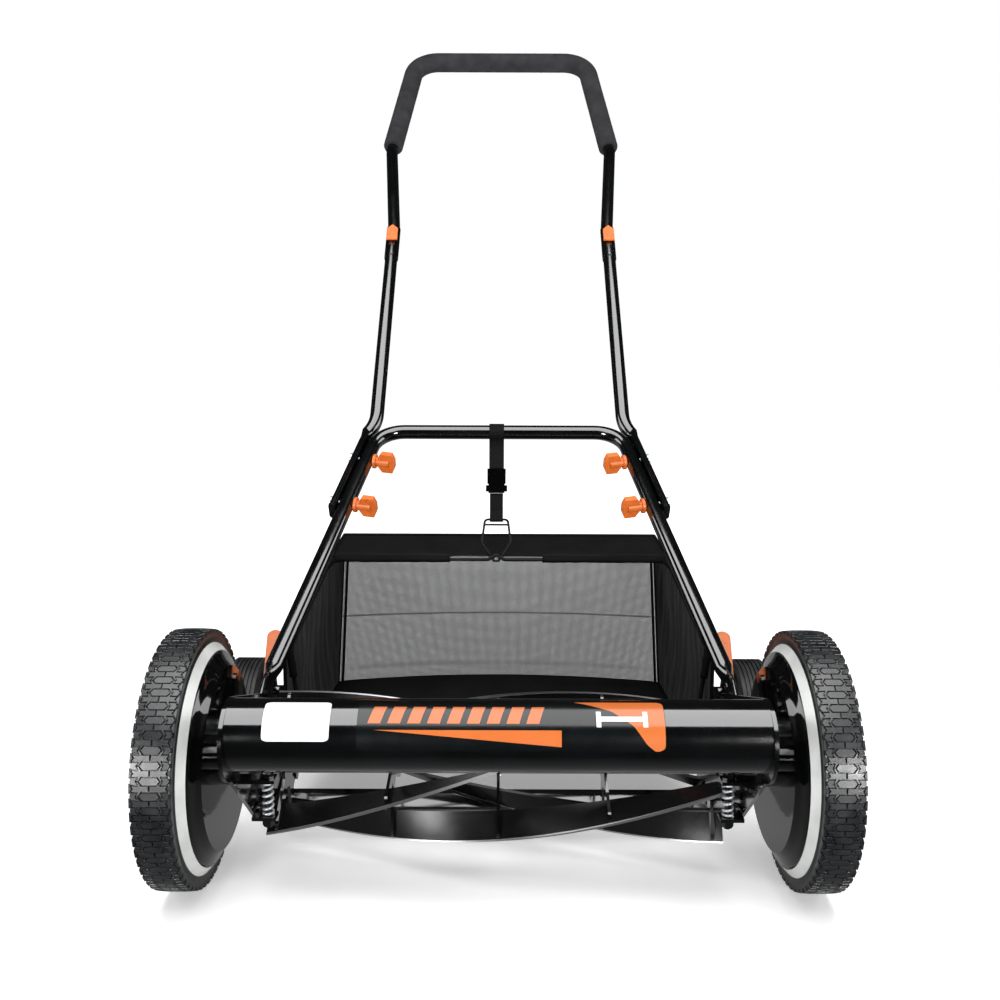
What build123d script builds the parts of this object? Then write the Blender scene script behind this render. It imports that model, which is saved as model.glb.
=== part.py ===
"""Push reel mower with a rear grass catcher, as an assembly of separate pieces.

Frame: +X across the mower, +Y rearwards (towards the person pushing), +Z up, millimetres.
The origin is on the ground, halfway between the two drive wheels, below their axle.
Half-widths such as TYRE_IN are distances from the middle plane; side is -1 or +1.
"""

import os
from math import atan2, cos, degrees, radians, sin, sqrt

from build123d import *

# ---- Drive wheels --------------------------------------------------------------------------
WHEEL_R = 127.0
TYRE_IN, TYRE_OUT = 288.0, 325.0
RIM_R, RIM_WALL = 113.0, 4.0
RIM_LIP_R, RIM_LIP_X = 105.5, 281.0
DISC_IN, DISC_OUT = 300.0, 304.0
HUB_R, HUB_IN, HUB_OUT = 18.0, 289.0, 316.0
AXLE_R = 8.0
RUN_FIT = 0.05

# ---- Gear drive: a ring gear in each wheel turns a pinion on the reel shaft -------------------
MODULE = 2.0
RING_TEETH, PINION_TEETH = 51, 10
RING_PITCH_R = RING_TEETH * MODULE / 2
PINION_PITCH_R = PINION_TEETH * MODULE / 2
GEAR_IN, GEAR_OUT = 289.0, 300.0
PINION_BORE_R = 5.0

# ---- Reel ------------------------------------------------------------------------------------
REEL_Y = 34.0
REEL_Z = WHEEL_R - sqrt((RING_PITCH_R - PINION_PITCH_R) ** 2 - REEL_Y**2)
REEL_R, REEL_HALF = 75.6, 228.6
BLADE_COUNT, BLADE_DEPTH, BLADE_THICK = 5, 30.0, 3.0
BLADE_START_DEG, BLADE_TWIST_DEG, BLADE_SECTIONS = 219.8, -116.8, 13
SHAFT_R = 8.0
SPIDER_X = [-218.0, -109.0, 0.0, 109.0, 218.0]
SPIDER_THICK, SPIDER_HUB_R, SPIDER_ARM_R, SPIDER_ARM_WIDTH = 3.0, 22.0, 66.0, 15.0
RIVET_R = 62.0

# ---- Side plates and frame ---------------------------------------------------------------------
PLATE_IN, PLATE_OUT = 235.0, 238.5
COVER_FACE_X, COVER_R, COVER_WALL = 271.0, 103.5, 2.0
TUBE_Y, TUBE_Z, TUBE_R, TUBE_WALL = -114.3, 193.4, 31.75, 1.6
TIE_Y, TIE_Z, TIE_R = 122.0, 118.0, 5.0
PIVOT_Y, PIVOT_Z, PIVOT_R = 84.0, 126.0, 5.0
QUADRANT_IN, QUADRANT_OUT = 246.5, 249.5
ARM_IN, ARM_OUT = 252.0, 256.0
HEX_R = 8.0

# ---- Cutter bar and its adjusters ---------------------------------------------------------------
KNIFE_Y, KNIFE_TOP, KNIFE_BOTTOM = 72.3, 37.9, 33.0
BRACKET_IN, BRACKET_OUT = 229.8, 233.4
CUTTER_PIVOT_Y, CUTTER_PIVOT_Z = 118.0, 60.0
SPRING_X, SPRING_Y, SPRING_WIRE, SPRING_MEAN_R, SPRING_TURNS = 219.0, -53.0, 0.95, 4.9, 5
EAR_TOP, EAR_THICK, LUG_BOTTOM, LUG_THICK = 90.5, 3.5, 124.0, 3.5
SCREW_R = 2.9

# ---- Rear wheels --------------------------------------------------------------------------------
REAR_R, REAR_Y = 76.0, 246.0
REAR_IN, REAR_OUT, REAR_RIBS = 290.0, 325.0, 7
REAR_AXLE_R = 6.0
LEVER_FOOT, LEVER_SLOPE, LEVER_LENGTH = (104.0, 172.0), 36.0, 66.0

# ---- Handle -------------------------------------------------------------------------------------
PIPE_R, PIPE_WALL = 9.5, 1.3
LEG_FOOT = Vector(241.0, 48.0, 187.0)
LEG_SLOPE = Vector(0, 370, 234).normalized()
LEG_LENGTH, LEG_TOP_X, LEG_BEND_R = 437.8, 164.0, 42.0
FOOT_START_S, FOOT_END_S, FOOT_THICK, FOOT_WIDTH = -64.0, -4.0, 5.0, 26.0
LOWER_BOLT_S, UPPER_BOLT_S, CLAMP_BOLT_R = 287.0, 375.0, 3.2
MID_START_S, MID_FLAT_END_S, MID_FLAT, MID_FLAT_WIDTH = 270.0, 408.0, 8.6, 23.0
MID_GAP = 0.35
MID_X, MID_TOP = 169.0, 390.0
BEND_POINT = Vector(MID_X, 426.0, 430.4)
BEND_R = 60.0
GRIP_SLOPE = Vector(0, 0.6745, 0.7383).normalized()
GRIP_FRONT = Vector(0, -0.7383, 0.6745).normalized()
SOCKET_BOTTOM, SOCKET_TOP, SOCKET_WALL = 328.0, 392.0, 1.2
ELBOW_X, ELBOW, ELBOW_BEND_R = 184.0, 590.0, 60.0
CORNER_X, GRIP_TOP, CORNER_BEND_R = 154.0, 847.0, 45.0
GRIP_R = 16.5
BUTTON_AT, BUTTON_STEM_R, BUTTON_TRAVEL = 362.0, 3.5, 2.0
KNOB_REACH = 28.0

# ---- Catcher -------------------------------------------------------------------------------------
FABRIC, BAG_GAP = 2.0, 0.5
BAG_FRONT_Y, BAG_FRONT_X, BAG_REAR_X = 136.0, 241.5, 222.0
BAG_FRONT_TOP_Z, BAG_FRONT_FOOT_Z = 205.0, 57.0
REAR_TOP = (464.0, 271.0)
REAR_FOOT = (406.0, 71.0)
FLAP_FRONT = (379.5, 257.0)
SIDE_CREST = (327.0, 254.0)
WIRE_R = 2.5
WIRE_FRONT_Y, WIRE_FRONT_Z = 376.0, 253.0
KINK_X, KINK_HALF, KINK_HEIGHT = -4.0, 11.0, 6.5
NOTCH_HALF, NOTCH_DEPTH = 62.0, 7.0

# ---- Strap that hangs the catcher from the lower handle's crossbar -------------------------------
STRAP_X, STRAP_WIDTH, STRAP_THICK = -4.0, 20.0, 1.8
STRAP_END = Vector(-4.0, 383.5, 262.0)
BUCKLE_TOP_T, BUCKLE_FOOT_T, RING_TOP_T, RING_FOOT_T = 50.0, 83.0, 119.0, 150.0
RING_WIRE_R = 1.6

SIDES = {"left": -1, "right": 1}


# ---- Helpers -------------------------------------------------------------------------------------
def write(builder, name):
    """Label a finished piece and write its STEP file."""
    builder.part.label = name
    export_step(builder.part, f"parts/{name}.step")


def across(side, inner, outer):
    """Plane at right angles to X on which a slab between two half-widths starts."""
    return Plane.YZ.offset(min(side * inner, side * outer))


def axle_plane(y, z):
    """Level plane through an axle: local x runs along the axle, local y is the radius."""
    return Plane(origin=(0, y, z))


def axle(y, z):
    return Axis((0, y, z), (1, 0, 0))


def turned_profile(points, side, y, z, mode=Mode.ADD):
    """Solid of revolution about an axle, from (half-width, radius) points."""
    with BuildSketch(axle_plane(y, z)) as profile:
        with BuildLine():
            Polyline([(side * x, r) for x, r in points], close=True)
        make_face()
    revolve(profile.sketch, axis=axle(y, z), mode=mode)


def disc(side, inner, outer, y, z, radius, mode=Mode.ADD):
    """Round slab about an axle-parallel line, between two half-widths."""
    with BuildSketch(across(side, inner, outer)) as outline:
        with Locations((y, z)):
            Circle(radius)
    extrude(outline.sketch, amount=outer - inner, mode=mode)


def hexagon(side, inner, outer, y, z, radius):
    """Hexagonal bolt head or nut between two half-widths."""
    with BuildSketch(across(side, inner, outer)) as outline:
        with Locations((y, z)):
            RegularPolygon(radius, 6)
    extrude(outline.sketch, amount=outer - inner)


def bar_between(start, end, width):
    """Round-ended bar between two (y, z) points, in the current sketch."""
    run, rise = end[0] - start[0], end[1] - start[1]
    with Locations((start[0] + run / 2, start[1] + rise / 2)):
        SlotCenterToCenter(sqrt(run**2 + rise**2), width, rotation=degrees(atan2(rise, run)))


def leg_point(s):
    """Point on the right leg of the lower handle, s up the slope from its foot."""
    x = LEG_FOOT.X + (LEG_TOP_X - LEG_FOOT.X) * s / LEG_LENGTH
    return Vector(x, LEG_FOOT.Y, LEG_FOOT.Z) + LEG_SLOPE * s


def leg_outward(side):
    """Unit vector square to one leg, pointing away from the middle."""
    lean = atan2(LEG_FOOT.X - LEG_TOP_X, LEG_LENGTH)
    across_x = Vector(side * cos(lean), 0, 0)
    return across_x + LEG_SLOPE * sin(lean)


def beside_leg(s, offset, side):
    """Plane square to one leg's side, offset outwards from its middle line."""
    place = on_side(leg_point(s), side) + leg_outward(side) * offset
    return Plane(origin=place, x_dir=leg_way(side), z_dir=leg_outward(side))


def leg_way(side):
    """Unit vector up one leg of the lower handle."""
    return (on_side(leg_point(LEG_LENGTH), side) - on_side(leg_point(0), side)).normalized()


def round_bar(base, start, end, radius, mode=Mode.ADD):
    """Round bar along a plane's normal, between two heights above the plane."""
    with BuildSketch(base.offset(start)) as outline:
        Circle(radius)
    extrude(outline.sketch, amount=end - start, mode=mode)


def grip_point(x, r):
    """Point in the slanted plane of the upper handle, r up the slope from the bend."""
    return Vector(x, BEND_POINT.Y, BEND_POINT.Z) + GRIP_SLOPE * r


def on_side(point, side):
    return Vector(point.X * side, point.Y, point.Z)


def pipe(points, bends, radius, wall=0.0):
    """Round tube, or a rod where wall is 0, along straight runs joined by arcs."""
    with BuildLine() as path:
        if bends:
            FilletPolyline(*points, radius=bends)
        else:
            Line(*points)
    start = Plane(origin=path.line @ 0, z_dir=path.line % 0)
    with BuildSketch(start) as section:
        Circle(radius)
        if wall:
            Circle(radius - wall, mode=Mode.SUBTRACT)
    sweep(sections=section.sketch, path=path.line)


# ---- Drive wheels --------------------------------------------------------------------------------
def make_tyre(name, side):
    shoulder = 3.0
    with BuildPart() as tyre:
        outline = [
            (TYRE_IN, RIM_R),
            (TYRE_IN, WHEEL_R - shoulder),
            (TYRE_IN + shoulder, WHEEL_R),
            (TYRE_OUT - shoulder, WHEEL_R),
            (TYRE_OUT, WHEEL_R - shoulder),
            (TYRE_OUT, RIM_R),
        ]
        turned_profile(outline, side, 0, WHEEL_R)
    write(tyre, name)


def make_rim_ring(name, side):
    """Bright rim: a barrel with a conical lip that stands out towards the middle."""
    barrel_end = TYRE_OUT - 2
    with BuildPart() as ring:
        outline = [
            (RIM_LIP_X, RIM_LIP_R),
            (TYRE_IN, RIM_R),
            (barrel_end, RIM_R),
            (barrel_end, RIM_R - RIM_WALL),
            (TYRE_IN, RIM_R - RIM_WALL),
            (RIM_LIP_X + 2, RIM_LIP_R - 1.4),
        ]
        turned_profile(outline, side, 0, WHEEL_R)
    write(ring, name)


def tooth(root_r, tip_r, root_width, tip_width):
    """One straight-sided tooth lying along local x in the current sketch."""
    corners = [
        (root_r, -root_width / 2),
        (tip_r, -tip_width / 2),
        (tip_r, tip_width / 2),
        (root_r, root_width / 2),
    ]
    Polygon(*corners, align=None)


def mesh_angle():
    """Direction from the wheel's axle to the reel shaft, degrees in the YZ plane."""
    return degrees(atan2(REEL_Z - WHEEL_R, REEL_Y))


def make_wheel_disc(name, side):
    """Moulded wheel centre: web with six windows, hub, and the internal ring gear."""
    windows, window_r, window_at = 6, 13.0, 84.0
    ring_outer, ring_root, ring_tip = 58.0, RING_PITCH_R + 2.4, RING_PITCH_R - 1.7
    web_r, flange_set_back, flange_wall = RIM_R - RIM_WALL, 6.0, 4.0
    with BuildPart() as wheel:
        disc(side, DISC_IN, DISC_OUT, 0, WHEEL_R, web_r)
        disc(side, HUB_IN, HUB_OUT, 0, WHEEL_R, HUB_R)
        flange = [
            (HUB_IN, web_r),
            (TYRE_OUT - flange_set_back, web_r),
            (TYRE_OUT - flange_set_back, web_r - flange_wall),
            (HUB_IN, web_r - flange_wall),
        ]
        turned_profile(flange, side, 0, WHEEL_R)
        with BuildSketch(across(side, GEAR_IN, GEAR_OUT)):
            with Locations((0, WHEEL_R)):
                Circle(ring_outer)
                Circle(ring_root, mode=Mode.SUBTRACT)
            pitch_deg = 360 / RING_TEETH
            first = mesh_angle() + pitch_deg / 2
            with Locations((0, WHEEL_R)):
                with PolarLocations(0, RING_TEETH, start_angle=first):
                    tooth(ring_root + 0.3, ring_tip, 4.1, 1.7)
        extrude(amount=GEAR_OUT - GEAR_IN)
        with BuildSketch(across(side, DISC_IN, DISC_OUT)):
            with Locations((0, WHEEL_R)):
                with PolarLocations(window_at, windows):
                    Circle(window_r)
        extrude(amount=DISC_OUT - DISC_IN, mode=Mode.SUBTRACT)
        disc(side, HUB_IN, HUB_OUT, 0, WHEEL_R, AXLE_R + RUN_FIT, mode=Mode.SUBTRACT)
    write(wheel, name)


def make_hub_cap(name, side):
    """Domed cap pressed over the outer end of the wheel's hub."""
    with BuildPart() as cap:
        outline = [
            (HUB_OUT - 8, HUB_R),
            (HUB_OUT - 8, HUB_R + 3),
            (HUB_OUT + 6, HUB_R + 1),
            (TYRE_OUT, HUB_R - 6),
            (TYRE_OUT, 0),
            (TYRE_OUT - 2, 0),
            (TYRE_OUT - 2, HUB_R - 7),
            (HUB_OUT + 4.5, HUB_R - 1),
            (HUB_OUT, HUB_R - 1),
            (HUB_OUT, HUB_R),
        ]
        turned_profile(outline, side, 0, WHEEL_R)
    write(cap, name)


def make_pinion(name, side):
    root_r, tip_r = PINION_PITCH_R - 2.4, PINION_PITCH_R + 1.7
    with BuildPart() as pinion:
        with BuildSketch(across(side, GEAR_IN, GEAR_OUT - 1)):
            with Locations((REEL_Y, REEL_Z)):
                Circle(root_r)
                with PolarLocations(0, PINION_TEETH, start_angle=mesh_angle()):
                    tooth(root_r - 0.4, tip_r, 3.6, 1.4)
                Circle(PINION_BORE_R + RUN_FIT, mode=Mode.SUBTRACT)
        extrude(amount=GEAR_OUT - 1 - GEAR_IN)
    write(pinion, name)


# ---- Reel ----------------------------------------------------------------------------------------
def blade_angle(x, index):
    """Angle of a blade around the reel shaft at one place along the reel, in degrees."""
    along = (x + REEL_HALF) / (2 * REEL_HALF)
    return BLADE_START_DEG + BLADE_TWIST_DEG * along + 360 / BLADE_COUNT * index


def make_blades():
    """Five helical blades; returns them for cutting the spiders' slots."""
    middle_r = REEL_R - BLADE_DEPTH / 2
    with BuildPart() as blades:
        for index in range(BLADE_COUNT):
            for step in range(BLADE_SECTIONS):
                x = -REEL_HALF + 2 * REEL_HALF * step / (BLADE_SECTIONS - 1)
                angle = radians(blade_angle(x, index))
                outward = Vector(0, cos(angle), sin(angle))
                centre = Vector(x, REEL_Y, REEL_Z) + outward * middle_r
                with BuildSketch(Plane(origin=centre, x_dir=outward, z_dir=(1, 0, 0))):
                    Rectangle(BLADE_DEPTH, BLADE_THICK)
            loft()
    write(blades, "reel_blades")
    return blades


def make_spiders(blades):
    """Stamped five-armed discs that carry the blades on the shaft."""
    with BuildPart() as spiders:
        for x in SPIDER_X:
            with BuildSketch(Plane.YZ.offset(x - SPIDER_THICK / 2)):
                with Locations((REEL_Y, REEL_Z)):
                    Circle(SPIDER_HUB_R)
                    with PolarLocations(SPIDER_ARM_R / 2, BLADE_COUNT, start_angle=blade_angle(x, 0)):
                        Rectangle(SPIDER_ARM_R, SPIDER_ARM_WIDTH)
                    with PolarLocations(SPIDER_ARM_R, BLADE_COUNT, start_angle=blade_angle(x, 0)):
                        Circle(SPIDER_ARM_WIDTH / 2)
                    Circle(SHAFT_R, mode=Mode.SUBTRACT)
            extrude(amount=SPIDER_THICK)
        add(blades.part, mode=Mode.SUBTRACT)
    write(spiders, "reel_spiders")


def make_reel_rivets():
    """Round rivet heads beside each blade where a spider arm holds it."""
    head_r, head_length = 2.6, 1.6
    with BuildPart() as rivets:
        for x in SPIDER_X:
            for index in range(BLADE_COUNT):
                angle = radians(blade_angle(x, index))
                outward = Vector(0, cos(angle), sin(angle))
                sideways = Vector(0, -sin(angle), cos(angle))
                place = Vector(x + SPIDER_THICK / 2, REEL_Y, REEL_Z)
                place = place + outward * RIVET_R + sideways * (BLADE_THICK / 2 + 3.2)
                with BuildSketch(Plane(origin=place, z_dir=(1, 0, 0))):
                    Circle(head_r)
                extrude(amount=head_length, taper=20)
    write(rivets, "reel_rivets")


def make_reel_shaft():
    bearing_r, end_r = 7.5, PINION_BORE_R
    steps = [
        (0, SHAFT_R),
        (PLATE_IN - 1, SHAFT_R),
        (PLATE_IN - 1, bearing_r),
        (COVER_FACE_X + 4, bearing_r),
        (COVER_FACE_X + 4, end_r),
        (GEAR_OUT - 0.5, end_r),
        (GEAR_OUT - 0.5, 0),
        (0, 0),
    ]
    with BuildPart() as shaft:
        for side in SIDES.values():
            turned_profile(steps, side, REEL_Y, REEL_Z)
    write(shaft, "reel_shaft")


def make_reel_bearings():
    """Ball bearing rings pressed into the side plates' housings."""
    with BuildPart() as bearings:
        for side in SIDES.values():
            disc(side, PLATE_OUT + 4, PLATE_OUT + 15, REEL_Y, REEL_Z, 18.0)
            disc(side, PLATE_OUT + 4, PLATE_OUT + 15, REEL_Y, REEL_Z, 7.5 + RUN_FIT, mode=Mode.SUBTRACT)
    write(bearings, "reel_bearings")


# ---- Frame ---------------------------------------------------------------------------------------
def make_side_plate(name, side):
    """Pressed plate with bearing housing, axle boss, spring lug and height quadrant."""
    nose_r = 37.0
    nose_y, nose_z = TUBE_Y + 1, TUBE_Z - 5
    housing_r, housing_bore_r, boss_r = 21.0, 18.0, 13.0
    with BuildPart() as plate:
        with BuildSketch(across(side, PLATE_IN, PLATE_OUT)):
            with BuildLine():
                Polyline(
                    (nose_y - 35, nose_z - 12),
                    (-36, 80),
                    (2, 77),
                    (44, 44),
                    (CUTTER_PIVOT_Y + 12, 46),
                    (CUTTER_PIVOT_Y + 14, TIE_Z + 8),
                    (TIE_Y - 4, TIE_Z + 18),
                    (113, 162),
                    (100, 168),
                    (74, 160),
                    (58, 166),
                    (40, 182),
                    (16, 187),
                    (nose_y + 9, nose_z + 36),
                    (nose_y, nose_z + 37),
                    (nose_y - 35, nose_z - 12),
                )
            make_face()
            with Locations((nose_y, nose_z)):
                Circle(nose_r)
        extrude(amount=PLATE_OUT - PLATE_IN)
        disc(side, PLATE_OUT, COVER_FACE_X, REEL_Y, REEL_Z, housing_r)
        disc(side, PLATE_OUT, COVER_FACE_X, 0, WHEEL_R, boss_r)
        disc(side, PLATE_OUT, QUADRANT_IN, 108, 158, 7)
        disc(side, PLATE_OUT, QUADRANT_IN, 62, 150, 7)
        with BuildSketch(across(side, QUADRANT_IN, QUADRANT_OUT)):
            with BuildLine():
                ThreePointArc((52, 163), (92, 178), (128, 150))
                Polyline((128, 150), (100, 143), (70, 139), (52, 150), (52, 163))
            make_face()
        extrude(amount=QUADRANT_OUT - QUADRANT_IN)
        with BuildSketch(Plane.XY.offset(LUG_BOTTOM)):
            with Locations((side * (PLATE_IN + 211) / 2, SPRING_Y)):
                Rectangle(PLATE_IN - 211, 17)
            with Locations((side * SPRING_X, SPRING_Y)):
                Circle(SCREW_R + 0.3, mode=Mode.SUBTRACT)
        extrude(amount=LUG_THICK)
        with BuildSketch(across(side, PLATE_IN, COVER_FACE_X)):
            with Locations((REEL_Y, REEL_Z)):
                Circle(9.0)
            with Locations((0, WHEEL_R)):
                Circle(AXLE_R)
            with Locations((TUBE_Y, TUBE_Z), (CUTTER_PIVOT_Y, CUTTER_PIVOT_Z)):
                Circle(4.0)
            with Locations((TIE_Y, TIE_Z), (PIVOT_Y, PIVOT_Z)):
                Circle(TIE_R)
            with Locations(*foot_bolt_places()):
                Circle(4.0)
        extrude(amount=COVER_FACE_X - PLATE_IN, mode=Mode.SUBTRACT)
        disc(side, PLATE_OUT + 4, PLATE_OUT + 15, REEL_Y, REEL_Z, housing_bore_r, mode=Mode.SUBTRACT)
    write(plate, name)


def foot_bolt_places():
    """The two bolts through each foot of the lower handle, as (y, z)."""
    places = []
    for s in (-54.0, -30.0):
        point = leg_point(s)
        places.append((point.Y, point.Z))
    return places


def make_gear_cover(name, side):
    """Dished dust cover that closes the wheel's gear from the inside."""
    with BuildPart() as cover:
        outline = [
            (COVER_FACE_X, 0),
            (COVER_FACE_X, 90),
            (COVER_FACE_X + 6, 97),
            (COVER_FACE_X + 8, COVER_R - 2),
            (COVER_FACE_X + 10, COVER_R),
            (COVER_FACE_X + 15, COVER_R),
            (COVER_FACE_X + 15, COVER_R - COVER_WALL),
            (COVER_FACE_X + 10.5, COVER_R - COVER_WALL),
            (COVER_FACE_X + 8, 96),
            (COVER_FACE_X + COVER_WALL, 89),
            (COVER_FACE_X + COVER_WALL, 0),
        ]
        turned_profile(outline, side, 0, WHEEL_R)
        disc(side, COVER_FACE_X, COVER_FACE_X + 3, REEL_Y, REEL_Z, SHAFT_R + 1, mode=Mode.SUBTRACT)
        disc(side, COVER_FACE_X, COVER_FACE_X + 3, 0, WHEEL_R, AXLE_R, mode=Mode.SUBTRACT)
    write(cover, name)


def make_wheel_axle(name, side):
    """Stub axle with a retaining head inside the hub cap."""
    with BuildPart() as stub:
        disc(side, PLATE_IN, HUB_OUT + 0.5, 0, WHEEL_R, AXLE_R)
        disc(side, HUB_OUT + 0.5, HUB_OUT + 4, 0, WHEEL_R, 11.5)
    write(stub, name)


def make_front_tube():
    """Wide front tube with a bored plug in each end."""
    with BuildPart() as tube:
        with BuildSketch(Plane.YZ.offset(-PLATE_IN)):
            with Locations((TUBE_Y, TUBE_Z)):
                Circle(TUBE_R)
                Circle(TUBE_R - TUBE_WALL, mode=Mode.SUBTRACT)
        extrude(amount=2 * PLATE_IN)
        for side in SIDES.values():
            disc(side, PLATE_IN - 12, PLATE_IN, TUBE_Y, TUBE_Z, TUBE_R - TUBE_WALL)
            disc(side, PLATE_IN - 12, PLATE_IN, TUBE_Y, TUBE_Z, 4.0, mode=Mode.SUBTRACT)
    write(tube, "front_tube")


def make_tie_rod():
    with BuildPart() as rod:
        disc(-1, -PLATE_OUT - 7, PLATE_OUT + 7, TIE_Y, TIE_Z, TIE_R)
    write(rod, "rear_tie_rod")


def make_frame_bolts():
    """Front tube bolts, tie rod nuts and cutter bar pivot bolts."""
    with BuildPart() as bolts:
        for side in SIDES.values():
            disc(side, PLATE_IN - 12, PLATE_OUT, TUBE_Y, TUBE_Z, 4.0)
            hexagon(side, PLATE_OUT, PLATE_OUT + 5.5, TUBE_Y, TUBE_Z, HEX_R)
            hexagon(side, PLATE_OUT, PLATE_OUT + 5.5, TIE_Y, TIE_Z, 9.5)
            disc(side, PLATE_OUT, PLATE_OUT + 5.5, TIE_Y, TIE_Z, TIE_R, mode=Mode.SUBTRACT)
            disc(side, BRACKET_IN - 1.5, PLATE_OUT, CUTTER_PIVOT_Y, CUTTER_PIVOT_Z, 4.0)
            disc(side, BRACKET_IN - 4.5, BRACKET_IN - 1.5, CUTTER_PIVOT_Y, CUTTER_PIVOT_Z, 7.0)
            hexagon(side, PLATE_OUT, PLATE_OUT + 5.5, CUTTER_PIVOT_Y, CUTTER_PIVOT_Z, HEX_R)
    write(bolts, "frame_bolts")


# ---- Cutter bar ----------------------------------------------------------------------------------
def make_cutter_bar():
    """Stiff bar behind the reel, with an end bracket reaching forward to each spring."""
    with BuildPart() as bar:
        with BuildSketch(Plane.YZ.offset(-BRACKET_IN)):
            with BuildLine():
                Polyline(
                    (79.5, KNIFE_TOP),
                    (86.5, 45.5),
                    (90, 48.5),
                    (102, 48.5),
                    (102, KNIFE_TOP),
                    close=True,
                )
            make_face()
        extrude(amount=2 * BRACKET_IN)
        for side in SIDES.values():
            with BuildSketch(across(side, BRACKET_IN, BRACKET_OUT)):
                with BuildLine():
                    Polyline(
                        (SPRING_Y - 8, EAR_TOP - EAR_THICK),
                        (SPRING_Y - 8, EAR_TOP),
                        (-30, 92),
                        (20, 72),
                        (80, 58),
                        (106, 68),
                        (CUTTER_PIVOT_Y, 71),
                        (CUTTER_PIVOT_Y + 10, 62),
                        (CUTTER_PIVOT_Y + 8, 50),
                        (102, 36),
                        (78, 34),
                        (20, 58),
                        (-28, 82),
                        close=True,
                    )
                make_face()
                with Locations((CUTTER_PIVOT_Y, CUTTER_PIVOT_Z)):
                    Circle(4.0 + RUN_FIT, mode=Mode.SUBTRACT)
            extrude(amount=BRACKET_OUT - BRACKET_IN)
            with BuildSketch(Plane.XY.offset(EAR_TOP - EAR_THICK)):
                with Locations((side * (BRACKET_OUT + 211) / 2, SPRING_Y)):
                    Rectangle(BRACKET_OUT - 211, 16)
                with Locations((side * SPRING_X, SPRING_Y)):
                    Circle(SCREW_R + 0.3, mode=Mode.SUBTRACT)
            extrude(amount=EAR_THICK)
    write(bar, "cutter_bar")


def make_bed_knife():
    with BuildPart() as knife:
        with BuildSketch(Plane.YZ.offset(-REEL_HALF)):
            with BuildLine():
                Polyline(
                    (KNIFE_Y, KNIFE_TOP),
                    (KNIFE_Y, KNIFE_BOTTOM + 1.5),
                    (KNIFE_Y + 4, KNIFE_BOTTOM),
                    (100, KNIFE_BOTTOM),
                    (100, KNIFE_TOP),
                    close=True,
                )
            make_face()
        extrude(amount=2 * REEL_HALF)
    write(knife, "bed_knife")


def make_knife_screws():
    """Row of screws under the bed knife."""
    count, reach = 6, 200.0
    with BuildPart() as screws:
        with BuildSketch(Plane.XY.offset(KNIFE_BOTTOM - 2.2)):
            with Locations((0, 90)):
                with GridLocations(2 * reach / (count - 1), 1, count, 1):
                    Circle(4.0)
        extrude(amount=2.2)
    write(screws, "knife_screws")


def make_adjuster_screw(name, side):
    """Screw down through the lug, the spring and the ear, with its nut below."""
    head_top = LUG_BOTTOM + LUG_THICK + 6
    nut_bottom = EAR_TOP - EAR_THICK - 9
    with BuildPart() as screw:
        with BuildSketch(Plane.XY.offset(nut_bottom)):
            with Locations((side * SPRING_X, SPRING_Y)):
                Circle(SCREW_R)
        extrude(amount=head_top - nut_bottom)
        with BuildSketch(Plane.XY.offset(LUG_BOTTOM + LUG_THICK + 0.3)):
            with Locations((side * SPRING_X, SPRING_Y)):
                RegularPolygon(6.0, 6)
        extrude(amount=5.0)
        with BuildSketch(Plane.XY.offset(nut_bottom + 2)):
            with Locations((side * SPRING_X, SPRING_Y)):
                RegularPolygon(6.0, 6)
        extrude(amount=5.5)
    write(screw, name)


def make_adjuster_springs():
    """Compression springs between the plate lugs and the cutter bar ears."""
    gap = 0.15
    height = LUG_BOTTOM - EAR_TOP - 2 * (SPRING_WIRE + gap)
    with BuildPart() as springs:
        for side in SIDES.values():
            with BuildLine() as coil:
                Helix(
                    pitch=height / SPRING_TURNS,
                    height=height,
                    radius=SPRING_MEAN_R,
                    center=(side * SPRING_X, SPRING_Y, EAR_TOP + SPRING_WIRE + gap),
                )
            with BuildSketch(Plane(origin=coil.line @ 0, z_dir=coil.line % 0)) as wire:
                Circle(SPRING_WIRE)
            sweep(sections=wire.sketch, path=coil.line, is_frenet=True)
    write(springs, "adjuster_springs")


# ---- Rear wheels and height adjustment -----------------------------------------------------------
def make_rear_wheel(name, side):
    """Small moulded wheel with grooves around its tread."""
    groove, rib = 2.0, 3.0
    with BuildPart() as wheel:
        disc(side, REAR_IN, REAR_OUT, REAR_Y, REAR_R, REAR_R)
        for index in range(REAR_RIBS - 1):
            start = REAR_IN + rib + 0.5 + index * (groove + rib)
            disc_ring = [
                (start, REAR_R + 1),
                (start + groove, REAR_R + 1),
                (start + groove, REAR_R - 2.5),
                (start, REAR_R - 2.5),
            ]
            turned_profile(disc_ring, side, REAR_Y, REAR_R, mode=Mode.SUBTRACT)
        for inner, outer in ((REAR_IN, REAR_IN + 12), (REAR_OUT - 12, REAR_OUT)):
            with BuildSketch(across(side, inner, outer)):
                with Locations((REAR_Y, REAR_R)):
                    Circle(REAR_R - 12)
                    Circle(18.0, mode=Mode.SUBTRACT)
            extrude(amount=outer - inner, mode=Mode.SUBTRACT)
        disc(side, REAR_IN, REAR_OUT, REAR_Y, REAR_R, REAR_AXLE_R + RUN_FIT, mode=Mode.SUBTRACT)
    write(wheel, name)


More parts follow.
